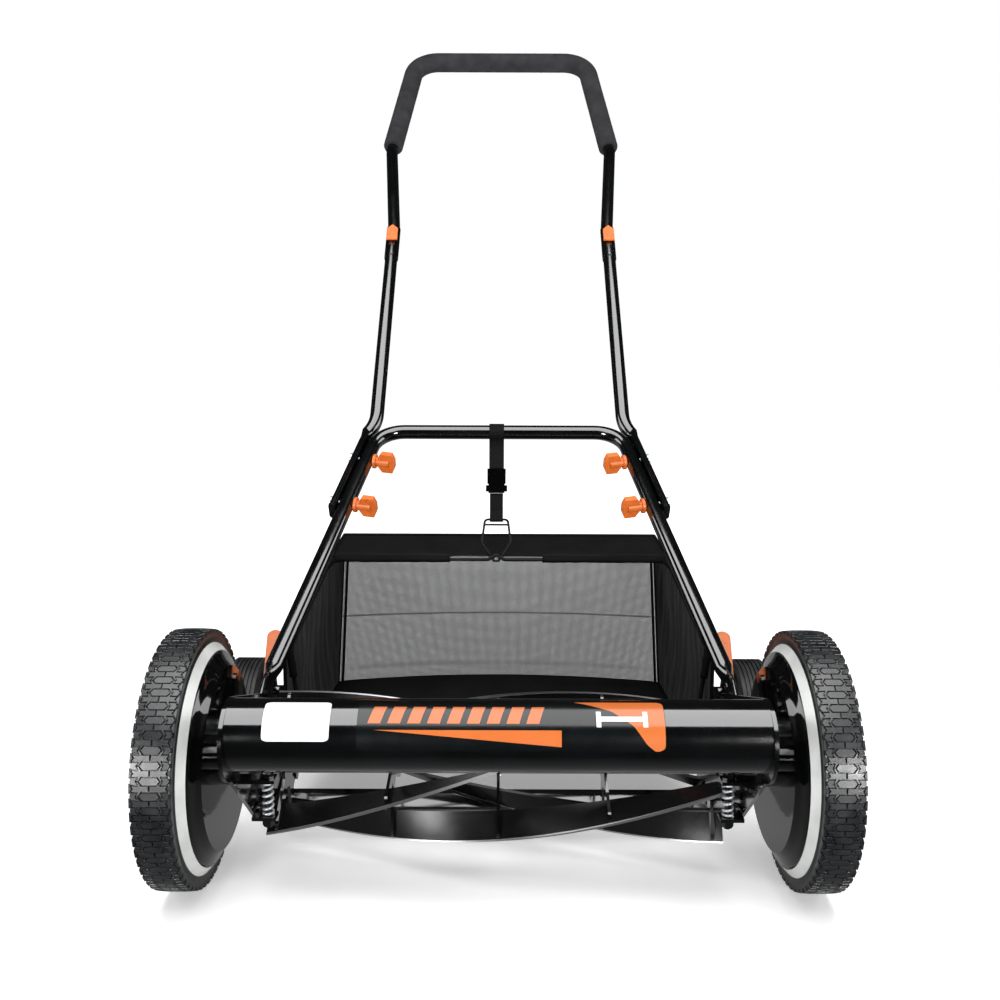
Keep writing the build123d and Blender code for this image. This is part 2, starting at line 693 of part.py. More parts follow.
def make_height_arm(name, side):
    """Steel bell crank: pivot, rear axle stub and the core of the lever."""
    pivot, wheel = (PIVOT_Y, PIVOT_Z), (REAR_Y, REAR_R)
    with BuildPart() as arm:
        with BuildSketch(across(side, ARM_IN, ARM_OUT)):
            bar_between(pivot, wheel, 22)
            bar_between(pivot, LEVER_FOOT, 16)
            bar_between(LEVER_FOOT, lever_point(LEVER_LENGTH - 12), 10)
            with Locations(pivot, wheel):
                Circle(14)
            with Locations(pivot):
                Circle(PIVOT_R + RUN_FIT, mode=Mode.SUBTRACT)
        extrude(amount=ARM_OUT - ARM_IN)
        disc(side, ARM_OUT, REAR_OUT + 0.4, REAR_Y, REAR_R, REAR_AXLE_R)
        disc(side, REAR_OUT + 0.4, REAR_OUT + 2.4, REAR_Y, REAR_R, REAR_AXLE_R + 3)
        disc(side, ARM_OUT, REAR_IN - 0.4, REAR_Y, REAR_R, REAR_AXLE_R + 3)
    write(arm, name)


def lever_point(t):
    """Point (y, z) on the lever's middle line, t up from its foot."""
    y, z = LEVER_FOOT
    return (y + t * cos(radians(LEVER_SLOPE)), z + t * sin(radians(LEVER_SLOPE)))


def make_height_lever(name, side):
    """Tapered paddle moulded over the top of the height arm, widest at its tip."""
    middle, half_foot, half_tip, half_thick = ARM_IN + 1.5, 3.4, 8.5, 6.0
    slope = radians(LEVER_SLOPE)
    face = Plane(
        origin=(side * middle, *LEVER_FOOT),
        x_dir=(1, 0, 0),
        z_dir=(0, -sin(slope), cos(slope)),
    )
    with BuildPart() as lever:
        with BuildSketch(face.offset(-half_thick)):
            with BuildLine():
                Polyline(
                    (-half_foot, 2),
                    (-half_tip, LEVER_LENGTH - half_tip),
                    (half_tip, LEVER_LENGTH - half_tip),
                    (half_foot, 2),
                    close=True,
                )
            make_face()
            with Locations((0, LEVER_LENGTH - half_tip)):
                Circle(half_tip)
        extrude(amount=2 * half_thick)
        fillet(lever.edges(), 1.2)
        with BuildSketch(across(side, ARM_IN, ARM_OUT)):
            bar_between((PIVOT_Y, PIVOT_Z), LEVER_FOOT, 16)
            bar_between(LEVER_FOOT, lever_point(LEVER_LENGTH - 12), 10)
        extrude(amount=ARM_OUT - ARM_IN, mode=Mode.SUBTRACT)
    write(lever, name)


def make_arm_pivots():
    """Shoulder bolts on which the height arms turn."""
    with BuildPart() as pivots:
        for side in SIDES.values():
            disc(side, PLATE_IN, ARM_OUT + 0.4, PIVOT_Y, PIVOT_Z, PIVOT_R)
            disc(side, PLATE_OUT, ARM_IN - 0.4, PIVOT_Y, PIVOT_Z, PIVOT_R + 3)
            hexagon(side, ARM_OUT + 0.4, ARM_OUT + 5.4, PIVOT_Y, PIVOT_Z, HEX_R)
    write(pivots, "arm_pivots")


# ---- Handle --------------------------------------------------------------------------------------
def make_lower_handle():
    """U-shaped tube with flattened feet bolted to the side plates."""
    neck = FOOT_END_S + 26
    top = leg_point(LEG_LENGTH)
    corners = [on_side(leg_point(neck), -1), on_side(top, -1), top, leg_point(neck)]
    with BuildPart() as handle:
        pipe(corners, LEG_BEND_R, PIPE_R, PIPE_WALL)
        for side in SIDES.values():
            foot_x = side * (PLATE_OUT + FOOT_THICK / 2)
            foot_top, foot_low = leg_point(FOOT_END_S), leg_point(FOOT_START_S)
            foot_top = Vector(foot_x, foot_top.Y, foot_top.Z)
            foot_low = Vector(foot_x, foot_low.Y, foot_low.Z)
            with BuildSketch(Plane(on_side(leg_point(neck), side), (1, 0, 0), leg_way(side))):
                Circle(PIPE_R)
            with BuildSketch(Plane(foot_top, (1, 0, 0), LEG_SLOPE)):
                SlotOverall(FOOT_WIDTH, FOOT_THICK, rotation=90)
            loft()
            with BuildSketch(Plane(foot_low, (1, 0, 0), LEG_SLOPE)):
                SlotOverall(FOOT_WIDTH, FOOT_THICK, rotation=90)
            extrude(amount=FOOT_END_S - FOOT_START_S)
            for y, z in foot_bolt_places():
                disc(side, PLATE_OUT - 1, PLATE_OUT + FOOT_THICK + 1, y, z, 4.0, mode=Mode.SUBTRACT)
            for s in (LOWER_BOLT_S, UPPER_BOLT_S):
                round_bar(beside_leg(s, 0, side), -15, 15, CLAMP_BOLT_R, mode=Mode.SUBTRACT)
    write(handle, "lower_handle")


def make_foot_bolts():
    with BuildPart() as bolts:
        for side in SIDES.values():
            for y, z in foot_bolt_places():
                disc(side, PLATE_IN, PLATE_OUT + FOOT_THICK, y, z, 4.0)
                hexagon(side, PLATE_OUT + FOOT_THICK, PLATE_OUT + FOOT_THICK + 5, y, z, HEX_R)
                hexagon(side, PLATE_IN - 5, PLATE_IN, y, z, HEX_R)
    write(bolts, "handle_foot_bolts")


def make_middle_tube(name, side):
    """Tube that starts flattened beside the leg, then bends up towards the grip."""
    offset = PIPE_R + MID_GAP + MID_FLAT / 2
    low = beside_leg(MID_START_S, offset, side).origin
    flat_end = beside_leg(MID_FLAT_END_S, offset, side).origin
    way = leg_way(side)
    round_start = flat_end + way * 24
    bend = on_side(BEND_POINT, side)
    top = on_side(grip_point(MID_X, MID_TOP), side)
    slot_start, slot_width = BUTTON_AT - 5, 2 * BUTTON_STEM_R + 1.6
    slot_middle = on_side(grip_point(MID_X, (slot_start + MID_TOP + 5) / 2), side)
    with BuildPart() as tube:
        with BuildSketch(Plane(low, (1, 0, 0), way)):
            SlotOverall(MID_FLAT_WIDTH, MID_FLAT, rotation=90)
        extrude(amount=(flat_end - low).length)
        with BuildSketch(Plane(flat_end, (1, 0, 0), way)):
            SlotOverall(MID_FLAT_WIDTH, MID_FLAT, rotation=90)
        with BuildSketch(Plane(round_start, (1, 0, 0), bend - round_start)):
            Circle(PIPE_R)
        loft()
        pipe([round_start, bend, top], BEND_R, PIPE_R, PIPE_WALL)
        for s in (LOWER_BOLT_S, UPPER_BOLT_S):
            round_bar(beside_leg(s, offset, side), -8, 8, CLAMP_BOLT_R, mode=Mode.SUBTRACT)
        with BuildSketch(Plane(slot_middle, (1, 0, 0), GRIP_FRONT)):
            Rectangle(slot_width, MID_TOP + 5 - slot_start)
        extrude(amount=PIPE_R + 2, mode=Mode.SUBTRACT)
    write(tube, name)


def make_knob_bolts():
    """Four bolts through the middle tubes and legs, heads outside."""
    inner, outer = -PIPE_R - 22, PIPE_R + MID_GAP + MID_FLAT
    with BuildPart() as bolts:
        for side in SIDES.values():
            for s in (LOWER_BOLT_S, UPPER_BOLT_S):
                base = beside_leg(s, 0, side)
                round_bar(base, inner, outer, CLAMP_BOLT_R)
                round_bar(base, outer, outer + 3.5, 7.5)
    write(bolts, "knob_bolts")


def make_knob(name, side, s):
    """Two-winged clamping knob on the inner side of the leg."""
    face, collar, stem, thick = -PIPE_R - 0.4, 3.5, 21.0, 8.0
    half_wing, waist = 14.5, 6.0
    base = beside_leg(s, 0, side)
    inward = -leg_outward(side)
    wing_face = base.origin + inward * -face
    with BuildPart() as knob:
        round_bar(base, face - collar, face, 9.5)
        round_bar(base, face - stem, face, 6.5)
        with BuildSketch(Plane(wing_face - LEG_SLOPE * (thick / 2), inward, leg_way(side))):
            with BuildLine():
                Polyline(
                    (collar + 2, -waist),
                    (collar + 7, -half_wing),
                    (collar + 21, -half_wing),
                    (KNOB_REACH, -waist),
                    (KNOB_REACH, waist),
                    (collar + 21, half_wing),
                    (collar + 7, half_wing),
                    (collar + 2, waist),
                    close=True,
                )
            make_face()
        extrude(amount=thick)
        round_bar(base, face - stem - 2, face, CLAMP_BOLT_R + RUN_FIT, mode=Mode.SUBTRACT)
    write(knob, name)


def make_upper_handle():
    """Top loop; its two ends are widened into sockets over the middle tubes."""
    socket_r = PIPE_R + 0.05
    legs = [grip_point(-MID_X, SOCKET_TOP), grip_point(-MID_X, SOCKET_TOP + 10)]
    legs += [grip_point(-ELBOW_X, ELBOW), grip_point(-CORNER_X, GRIP_TOP)]
    path = legs + [on_side(point, -1) for point in reversed(legs)]
    bends = [ELBOW_BEND_R, ELBOW_BEND_R, CORNER_BEND_R, CORNER_BEND_R, ELBOW_BEND_R, ELBOW_BEND_R]
    with BuildPart() as handle:
        pipe(path, bends, PIPE_R, PIPE_WALL)
        for side in SIDES.values():
            base = Plane(on_side(grip_point(MID_X, SOCKET_BOTTOM), side), (1, 0, 0), GRIP_SLOPE)
            depth = SOCKET_TOP - SOCKET_BOTTOM
            round_bar(base, 0, depth + 3, socket_r + SOCKET_WALL)
            round_bar(base, 0, depth, socket_r, mode=Mode.SUBTRACT)
            round_bar(base, depth, depth + 3, PIPE_R - PIPE_WALL, mode=Mode.SUBTRACT)
            hole = Plane(on_side(grip_point(MID_X, BUTTON_AT), side), (1, 0, 0), GRIP_FRONT)
            round_bar(hole, 0, PIPE_R + 6, BUTTON_STEM_R + RUN_FIT, mode=Mode.SUBTRACT)
    write(handle, "upper_handle")


def make_foam_grip():
    """Foam sleeve over the top loop, from elbow to elbow."""
    start = ELBOW + 8
    share = (start - ELBOW) / (GRIP_TOP - ELBOW)
    start_x = ELBOW_X + (CORNER_X - ELBOW_X) * share
    legs = [grip_point(-start_x, start), grip_point(-CORNER_X, GRIP_TOP)]
    path = legs + [on_side(point, -1) for point in reversed(legs)]
    with BuildPart() as grip:
        pipe(path, [CORNER_BEND_R, CORNER_BEND_R], GRIP_R, GRIP_R - PIPE_R)
    write(grip, "foam_grip")


def make_lock_button(name, side):
    """Pointed push pad whose stem passes through the socket into the tube's slot."""
    half_width, straight, point, thick = 8.5, 24.0, 9.0, 2.5
    pad_under = PIPE_R + SOCKET_WALL + BUTTON_TRAVEL + 0.3
    base = Plane(on_side(grip_point(MID_X, BUTTON_AT), side), (1, 0, 0), GRIP_FRONT)
    with BuildPart() as button:
        with BuildSketch(base.offset(pad_under)):
            with BuildLine():
                Polyline(
                    (-half_width, -6),
                    (half_width, -6),
                    (half_width, straight - 6),
                    (0, straight + point - 6),
                    (-half_width, straight - 6),
                    close=True,
                )
            make_face()
        extrude(amount=thick)
        fillet(button.edges().group_by(SortBy.LENGTH)[0], 0.8)
        round_bar(base, PIPE_R - 2.5, pad_under, BUTTON_STEM_R)
    write(button, name)


# ---- Catcher -------------------------------------------------------------------------------------
def bag_half_width(y):
    """Outer half-width of the catcher at one distance back."""
    share = (y - BAG_FRONT_Y) / (REAR_TOP[0] - BAG_FRONT_Y)
    return BAG_FRONT_X + (BAG_REAR_X - BAG_FRONT_X) * share


def slanted_plane(start, end):
    """Plane through a (y, z) point, local y climbing towards another (y, z) point."""
    run, rise = end[0] - start[0], end[1] - start[1]
    return Plane(origin=(0, *start), x_dir=(1, 0, 0), z_dir=(0, -rise, run))


def distance(start, end):
    return sqrt((end[0] - start[0]) ** 2 + (end[1] - start[1]) ** 2)


def short_of(end, start, gap):
    """Point on the way from one (y, z) point to another, a gap short of its end."""
    share = gap / distance(start, end)
    return (end[0] + (start[0] - end[0]) * share, end[1] + (start[1] - end[1]) * share)


def make_panel(name, start, end, start_half, end_half, thick):
    """Four-sided cloth panel between two (y, z) points, thickened along its normal."""
    length = distance(start, end)
    with BuildPart() as panel:
        with BuildSketch(slanted_plane(start, end)):
            with BuildLine():
                Polyline(
                    (-start_half, 0),
                    (start_half, 0),
                    (end_half, length),
                    (-end_half, length),
                    close=True,
                )
            make_face()
        extrude(amount=thick)
    write(panel, name)


def make_bag_floor():
    start = (BAG_FRONT_Y, BAG_FRONT_FOOT_Z)
    end = short_of(REAR_FOOT, start, FABRIC + 2 * BAG_GAP)
    make_panel("bag_floor", start, end, bag_half_width(start[0]), bag_half_width(end[0]), FABRIC)


def make_bag_rear():
    top = short_of(REAR_TOP, REAR_FOOT, 2 * FABRIC)
    make_panel("bag_rear", REAR_FOOT, top, bag_half_width(REAR_FOOT[0]), bag_half_width(top[0]), FABRIC)


def make_bag_flap():
    """Top flap behind the frame wire, notched where the strap's ring hooks on."""
    front_half = bag_half_width(FLAP_FRONT[0])
    with BuildPart() as flap:
        with BuildSketch(slanted_plane(FLAP_FRONT, REAR_TOP)):
            with BuildLine():
                length = distance(FLAP_FRONT, REAR_TOP)
                Polyline(
                    (-front_half, 0),
                    (front_half, 0),
                    (BAG_REAR_X, length),
                    (-BAG_REAR_X, length),
                    close=True,
                )
            make_face()
            with Locations((KINK_X, 0)):
                Rectangle(2 * NOTCH_HALF, 2 * NOTCH_DEPTH, mode=Mode.SUBTRACT)
        extrude(amount=-FABRIC)
    write(flap, "bag_flap")


def make_bag_side(name, side):
    """Side of the catcher, leaning in towards the rear."""
    front = Vector(side * BAG_FRONT_X, BAG_FRONT_Y, 0)
    rear = Vector(side * BAG_REAR_X, REAR_TOP[0], 0)
    along = (rear - front).normalized()
    outward = Vector(side * along.Y, -side * along.X, 0)
    clear = FABRIC + BAG_GAP
    rear_run = REAR_TOP[0] - REAR_FOOT[0]
    rear_rise = REAR_TOP[1] - REAR_FOOT[1]
    slack = clear * sqrt(rear_run**2 + rear_rise**2) / rear_rise
    floor_slope = (REAR_FOOT[1] - BAG_FRONT_FOOT_Z) / (REAR_FOOT[0] - BAG_FRONT_Y)
    outline = [
        (BAG_FRONT_Y, BAG_FRONT_FOOT_Z + clear),
        (BAG_FRONT_Y, BAG_FRONT_TOP_Z),
        (SIDE_CREST[0], SIDE_CREST[1]),
        (FLAP_FRONT[0], FLAP_FRONT[1] - clear),
        (REAR_TOP[0] - 2 * slack, REAR_TOP[1] - clear - 1),
        (REAR_FOOT[0] - slack, REAR_FOOT[1] + clear - floor_slope * slack),
    ]
    stretch = 1 / along.Y
    with BuildPart() as panel:
        with BuildSketch(Plane(origin=front, x_dir=along, z_dir=outward)):
            with BuildLine():
                Polyline([((y - BAG_FRONT_Y) * stretch, side * z) for y, z in outline], close=True)
            make_face()
        extrude(amount=-FABRIC)
    write(panel, name)


def make_catcher_frame():
    """Bent wire round the catcher's mouth, hooked over the tie rod at both ends."""
    hook_x, hook_r = 226.0, TIE_R + WIRE_R + 0.5
    front_y = BAG_FRONT_Y + WIRE_R + 1
    inset = FABRIC + WIRE_R + 1
    half = [
        Vector(hook_x, TIE_Y - hook_r, TIE_Z - 6),
        Vector(hook_x, TIE_Y - hook_r, TIE_Z + hook_r),
        Vector(hook_x, front_y, TIE_Z + hook_r),
        Vector(bag_half_width(front_y) - inset, front_y, BAG_FRONT_TOP_Z - inset),
        Vector(bag_half_width(SIDE_CREST[0]) - inset, SIDE_CREST[0], WIRE_FRONT_Z - 1),
        Vector(bag_half_width(WIRE_FRONT_Y) - inset, WIRE_FRONT_Y, WIRE_FRONT_Z),
    ]
    kink = [
        Vector(KINK_X + KINK_HALF, WIRE_FRONT_Y, WIRE_FRONT_Z),
        Vector(KINK_X, WIRE_FRONT_Y, WIRE_FRONT_Z + KINK_HEIGHT),
        Vector(KINK_X - KINK_HALF, WIRE_FRONT_Y, WIRE_FRONT_Z),
    ]
    path = half + kink + [on_side(point, -1) for point in reversed(half)]
    ends = [hook_r, 7, 12, 40, 12]
    with BuildPart() as frame:
        pipe(path, ends + [5, 4, 5] + ends[::-1], WIRE_R)
    write(frame, "catcher_frame")


# ---- Strap ---------------------------------------------------------------------------------------
def strap_plane():
    """Plane of the hanging strap: local x along X, local y down the strap."""
    top = Vector(STRAP_X, leg_point(LEG_LENGTH).Y, leg_point(LEG_LENGTH).Z)
    down = STRAP_END - top
    return Plane(origin=top, x_dir=(1, 0, 0), z_dir=Vector(1, 0, 0).cross(down))


def strap_strip(start, end, width, thick):
    """Flat strip down the strap's plane between two distances from the crossbar."""
    base = strap_plane()
    with BuildSketch(base.offset(-thick / 2)) as outline:
        with Locations((0, (start + end) / 2)):
            Rectangle(width, end - start)
    extrude(outline.sketch, amount=thick)


def make_strap_upper():
    """Webbing looped round the crossbar, with both plies going down to the buckle."""
    inner_r = PIPE_R + 0.4
    crossbar = leg_point(LEG_LENGTH)
    with BuildPart() as strap:
        strap_strip(inner_r, BUCKLE_TOP_T - 0.4, STRAP_WIDTH, 2 * STRAP_THICK)
        with BuildSketch(Plane.YZ.offset(STRAP_X - STRAP_WIDTH / 2)):
            with Locations((crossbar.Y, crossbar.Z)):
                Circle(inner_r + STRAP_THICK)
        extrude(amount=STRAP_WIDTH)
        with BuildSketch(Plane.YZ.offset(STRAP_X - STRAP_WIDTH / 2)):
            with Locations((crossbar.Y, crossbar.Z)):
                Circle(inner_r)
        extrude(amount=STRAP_WIDTH, mode=Mode.SUBTRACT)
    write(strap, "strap_upper")


def make_strap_buckle():
    """Side-release buckle joining the two webbing ends."""
    length = BUCKLE_FOOT_T - BUCKLE_TOP_T
    with BuildPart() as buckle:
        strap_strip(BUCKLE_TOP_T, BUCKLE_TOP_T + length * 0.62, 25.0, 7.0)
        strap_strip(BUCKLE_TOP_T + length * 0.62, BUCKLE_FOOT_T, 22.0, 6.0)
        strap_strip(BUCKLE_TOP_T + length * 0.68, BUCKLE_FOOT_T - 2, 29.0, 4.0)
    write(buckle, "strap_buckle")


def make_strap_lower():
    with BuildPart() as strap:
        strap_strip(BUCKLE_FOOT_T + 0.4, RING_TOP_T - RING_WIRE_R - 0.5, STRAP_WIDTH - 2, STRAP_THICK)
    write(strap, "strap_lower")


def make_strap_ring():
    """Wire ring that hooks forward under the kink in the catcher's frame."""
    base = strap_plane()
    top_half, foot_half, hook_half = 15.5, 19.5, 3.2
    hook_z = WIRE_FRONT_Z + KINK_HEIGHT - WIRE_R - RING_WIRE_R - 4.0
    behind_y, ahead_y = WIRE_FRONT_Y + 6.5, WIRE_FRONT_Y - 2.0
    top = base.from_local_coords((top_half, RING_TOP_T, 0))
    foot = base.from_local_coords((foot_half, RING_FOOT_T, 0))
    right = [
        Vector(STRAP_X, top.Y, top.Z),
        top,
        foot,
        Vector(KINK_X + hook_half + 1.5, behind_y, hook_z + 1.5),
        Vector(KINK_X + hook_half, ahead_y, hook_z),
    ]
    right.append(Vector(STRAP_X, ahead_y, hook_z))
    left = [Vector(2 * STRAP_X - point.X, point.Y, point.Z) for point in right]
    with BuildPart() as ring:
        pipe(right, [5, 6, 3, 2], RING_WIRE_R)
        pipe(left, [5, 6, 3, 2], RING_WIRE_R)
        bar_end = base.from_local_coords((top_half + 0.4, RING_TOP_T + 7, 0))
        bar_plane = Plane(origin=(STRAP_X, bar_end.Y, bar_end.Z), z_dir=(1, 0, 0))
        reach = top_half + 0.4
        round_bar(bar_plane, -reach, reach, RING_WIRE_R - 0.2)
    write(ring, "strap_ring")


if __name__ == "__main__":
    os.makedirs("parts", exist_ok=True)
    for word, sign in SIDES.items():
        make_tyre(f"tyre_{word}", sign)
        make_rim_ring(f"rim_ring_{word}", sign)
        make_wheel_disc(f"wheel_disc_{word}", sign)
        make_hub_cap(f"hub_cap_{word}", sign)
        make_pinion(f"pinion_{word}", sign)
        make_side_plate(f"side_plate_{word}", sign)
        make_gear_cover(f"gear_cover_{word}", sign)
        make_wheel_axle(f"wheel_axle_{word}", sign)
        make_adjuster_screw(f"adjuster_screw_{word}", sign)
        make_rear_wheel(f"rear_wheel_{word}", sign)
        make_height_arm(f"height_arm_{word}", sign)
        make_height_lever(f"height_lever_{word}", sign)
        make_middle_tube(f"middle_tube_{word}", sign)
        make_lock_button(f"lock_button_{word}", sign)
        make_bag_side(f"bag_side_{word}", sign)
        make_knob(f"wing_knob_lower_{word}", sign, LOWER_BOLT_S)
        make_knob(f"wing_knob_upper_{word}", sign, UPPER_BOLT_S)
    reel_blades = make_blades()
    make_spiders(reel_blades)
    make_reel_rivets()
    make_reel_shaft()
    make_reel_bearings()
    make_front_tube()
    make_tie_rod()
    make_frame_bolts()
    make_cutter_bar()
    make_bed_knife()
    make_knife_screws()
    make_adjuster_springs()
    make_arm_pivots()
    make_lower_handle()
    make_foot_bolts()
    make_knob_bolts()
    make_upper_handle()
    make_foam_grip()
    make_bag_floor()
    make_bag_rear()
    make_bag_flap()
    make_catcher_frame()
    make_strap_upper()
    make_strap_buckle()
    make_strap_lower()
    make_strap_ring()
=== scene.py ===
"""Looks of the push reel mower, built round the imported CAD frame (metres, +Y rearwards, +Z up)."""

import math

import bmesh
import bpy
from mathutils import Matrix, Vector, noise


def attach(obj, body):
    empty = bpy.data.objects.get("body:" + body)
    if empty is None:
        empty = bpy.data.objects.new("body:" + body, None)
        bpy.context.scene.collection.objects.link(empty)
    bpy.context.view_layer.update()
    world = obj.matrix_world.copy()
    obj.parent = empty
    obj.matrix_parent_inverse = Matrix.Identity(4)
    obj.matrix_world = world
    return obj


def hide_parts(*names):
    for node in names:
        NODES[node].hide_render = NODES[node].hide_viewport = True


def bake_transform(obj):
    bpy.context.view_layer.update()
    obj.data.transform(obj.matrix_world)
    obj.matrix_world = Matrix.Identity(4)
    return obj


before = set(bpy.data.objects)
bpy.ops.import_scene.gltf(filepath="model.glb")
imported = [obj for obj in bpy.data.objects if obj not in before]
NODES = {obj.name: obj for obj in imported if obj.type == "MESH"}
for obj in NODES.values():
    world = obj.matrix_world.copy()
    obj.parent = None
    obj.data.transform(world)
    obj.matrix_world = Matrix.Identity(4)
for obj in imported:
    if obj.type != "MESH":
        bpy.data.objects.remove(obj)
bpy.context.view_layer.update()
SIDES = {"left": -1, "right": 1}
SHARP_DEGREES, GRAIN_DEPTH = 35, 0.0003

# ---- Dimensions shared with the CAD, in metres -------------------------------
WHEEL_R, TYRE_IN, TYRE_OUT, RIM_R = 0.127, 0.288, 0.325, 0.113
TUBE_Y, TUBE_Z, TUBE_R = -0.1143, 0.1934, 0.03175
REEL_Y, REEL_Z, REEL_R = 0.034, 0.10409, 0.0756


# ---- Materials ---------------------------------------------------------------
def new_material(name, color, roughness, metallic=0.0, coat=0.0, sheen=0.0, specular=0.5):
    """Principled material with its node tree; returns (material, nodes, links, shader)."""
    mat = bpy.data.materials.new(name)
    mat.use_nodes = True
    nodes, links = mat.node_tree.nodes, mat.node_tree.links
    shader = nodes["Principled BSDF"]
    shader.inputs["Base Color"].default_value = (*color, 1)
    shader.inputs["Roughness"].default_value = roughness
    shader.inputs["Metallic"].default_value = metallic
    shader.inputs["Coat Weight"].default_value = coat
    shader.inputs["Coat Roughness"].default_value = 0.05
    shader.inputs["Sheen Weight"].default_value = sheen
    shader.inputs["Specular IOR Level"].default_value = specular
    return mat, nodes, links, shader


def object_coords(nodes, links, scale=(1, 1, 1)):
    coords = nodes.new("ShaderNodeTexCoord")
    mapping = nodes.new("ShaderNodeMapping")
    mapping.inputs["Scale"].default_value = scale
    links.new(coords.outputs["Object"], mapping.inputs["Vector"])
    return mapping.outputs["Vector"]


def noise_node(nodes, links, vector, scale, detail=4, rough=0.55):
    tex = nodes.new("ShaderNodeTexNoise")
    tex.inputs["Scale"].default_value = scale
    tex.inputs["Detail"].default_value = detail
    tex.inputs["Roughness"].default_value = rough
    links.new(vector, tex.inputs["Vector"])
    return tex.outputs["Fac"]


def vector_math(nodes, links, operation, vector, other=None):
    node = nodes.new("ShaderNodeVectorMath")
    node.operation = operation
    if other is not None:
        node.inputs[1].default_value = other
    links.new(vector, node.inputs[0])
    return node.outputs["Value" if operation == "LENGTH" else "Vector"]


def ramp(nodes, links, factor, stops):
    """Colour ramp over (position, colour) stops."""
    node = nodes.new("ShaderNodeValToRGB")
    elements = node.color_ramp.elements
    elements[0].position, elements[0].color = stops[0][0], (*stops[0][1], 1)
    elements[1].position, elements[1].color = stops[-1][0], (*stops[-1][1], 1)
    for position, color in stops[1:-1]:
        elements.new(position).color = (*color, 1)
    links.new(factor, node.inputs["Fac"])
    return node.outputs["Color"]


def remap(nodes, links, value, low, high, from_low=0.35, from_high=0.65):
    node = nodes.new("ShaderNodeMapRange")
    node.inputs["From Min"].default_value = from_low
    node.inputs["From Max"].default_value = from_high
    node.inputs["To Min"].default_value = low
    node.inputs["To Max"].default_value = high
    links.new(value, node.inputs["Value"])
    return node.outputs["Result"]


def bump(nodes, links, shader, height, strength, distance, below=None):
    node = nodes.new("ShaderNodeBump")
    node.inputs["Strength"].default_value = strength
    node.inputs["Distance"].default_value = distance
    links.new(height, node.inputs["Height"])
    if below is not None:
        links.new(below, node.inputs["Normal"])
    links.new(node.outputs["Normal"], shader.inputs["Normal"])
    return node.outputs["Normal"]


def surface_detail(parts, color_pair, rough_pair, patch_scale, grain_scale, grain):
    """Patchy colour and roughness, and a fine grain, over one material."""
    mat, nodes, links, shader = parts
    vector = object_coords(nodes, links)
    patches = noise_node(nodes, links, vector, patch_scale)
    color = ramp(nodes, links, patches, [(0.35, color_pair[0]), (0.65, color_pair[1])])
    links.new(color, shader.inputs["Base Color"])
    links.new(remap(nodes, links, patches, *rough_pair), shader.inputs["Roughness"])
    fine = noise_node(nodes, links, vector, grain_scale, detail=3)
    bump(nodes, links, shader, fine, grain, GRAIN_DEPTH)
    return mat


def plain_finish(name, color, roughness, colors, rough_pair, scales, grain, **shader):
    """Patchy, finely grained material; scales are those of the patches and of the grain."""
    parts = new_material(name, color, roughness, **shader)
    return surface_detail(parts, colors, rough_pair, *scales, grain)


def brushed_steel():
    """Bare steel with fine lines along X from grinding."""
    mat, nodes, links, shader = new_material("ground_steel", (0.55, 0.55, 0.56), 0.3, metallic=1.0)
    vector = object_coords(nodes, links, (6, 260, 260))
    lines = noise_node(nodes, links, vector, 4, detail=6, rough=0.7)
    color = ramp(nodes, links, lines, [(0.3, (0.42, 0.42, 0.43)), (0.7, (0.66, 0.66, 0.67))])
    links.new(color, shader.inputs["Base Color"])
    links.new(remap(nodes, links, lines, 0.24, 0.42), shader.inputs["Roughness"])
    bump(nodes, links, shader, lines, 0.15, 0.0003)
    return mat


def blade_steel():
    """Black enamel blades whose outer band is ground bright."""
    mat, nodes, links, shader = new_material("reel_blade", (0.003, 0.003, 0.0035), 0.25, specular=0.3)
    coords = nodes.new("ShaderNodeTexCoord")
    offset = vector_math(nodes, links, "SUBTRACT", coords.outputs["Object"], (0, REEL_Y, REEL_Z))
    flat = vector_math(nodes, links, "MULTIPLY", offset, (0, 1, 1))
    radius = vector_math(nodes, links, "LENGTH", flat)
    vector = object_coords(nodes, links)
    wobble = noise_node(nodes, links, vector, 60)
    wobbled = nodes.new("ShaderNodeMath")
    wobbled.operation = "MULTIPLY_ADD"
    wobbled.inputs[1].default_value = 0.0005
    links.new(wobble, wobbled.inputs[0])
    links.new(radius, wobbled.inputs[2])
    ground = remap(nodes, links, wobbled.outputs["Value"], 0, 1, REEL_R - 0.0014, REEL_R - 0.001)
    color = ramp(nodes, links, ground, [(0, (0.003, 0.003, 0.0035)), (1, (0.56, 0.56, 0.56))])
    links.new(color, shader.inputs["Base Color"])
    links.new(ground, shader.inputs["Metallic"])
    links.new(remap(nodes, links, ground, 0.25, 0.34, 0, 1), shader.inputs["Roughness"])
    fine = noise_node(nodes, links, vector, 300, detail=3)
    bump(nodes, links, shader, fine, 0.08, 0.0003)
    return mat


def foam():
    """Closed-cell foam: dull dark grey, covered in fine pores."""
    mat, nodes, links, shader = new_material("grip_foam", (0.02, 0.02, 0.021), 0.9, specular=0.12)
    vector = object_coords(nodes, links)
    cells = nodes.new("ShaderNodeTexVoronoi")
    cells.inputs["Scale"].default_value = 900
    links.new(vector, cells.inputs["Vector"])
    mottled = noise_node(nodes, links, vector, 38, detail=5)
    color = ramp(nodes, links, mottled, [(0.3, (0.017, 0.0165, 0.018)), (0.7, (0.031, 0.03, 0.0325))])
    links.new(color, shader.inputs["Base Color"])
    soft = noise_node(nodes, links, vector, 240, detail=4)
    first = bump(nodes, links, shader, soft, 0.5, 0.0006)
    bump(nodes, links, shader, cells.outputs["Distance"], 0.5, 0.0004, below=first)
    return mat


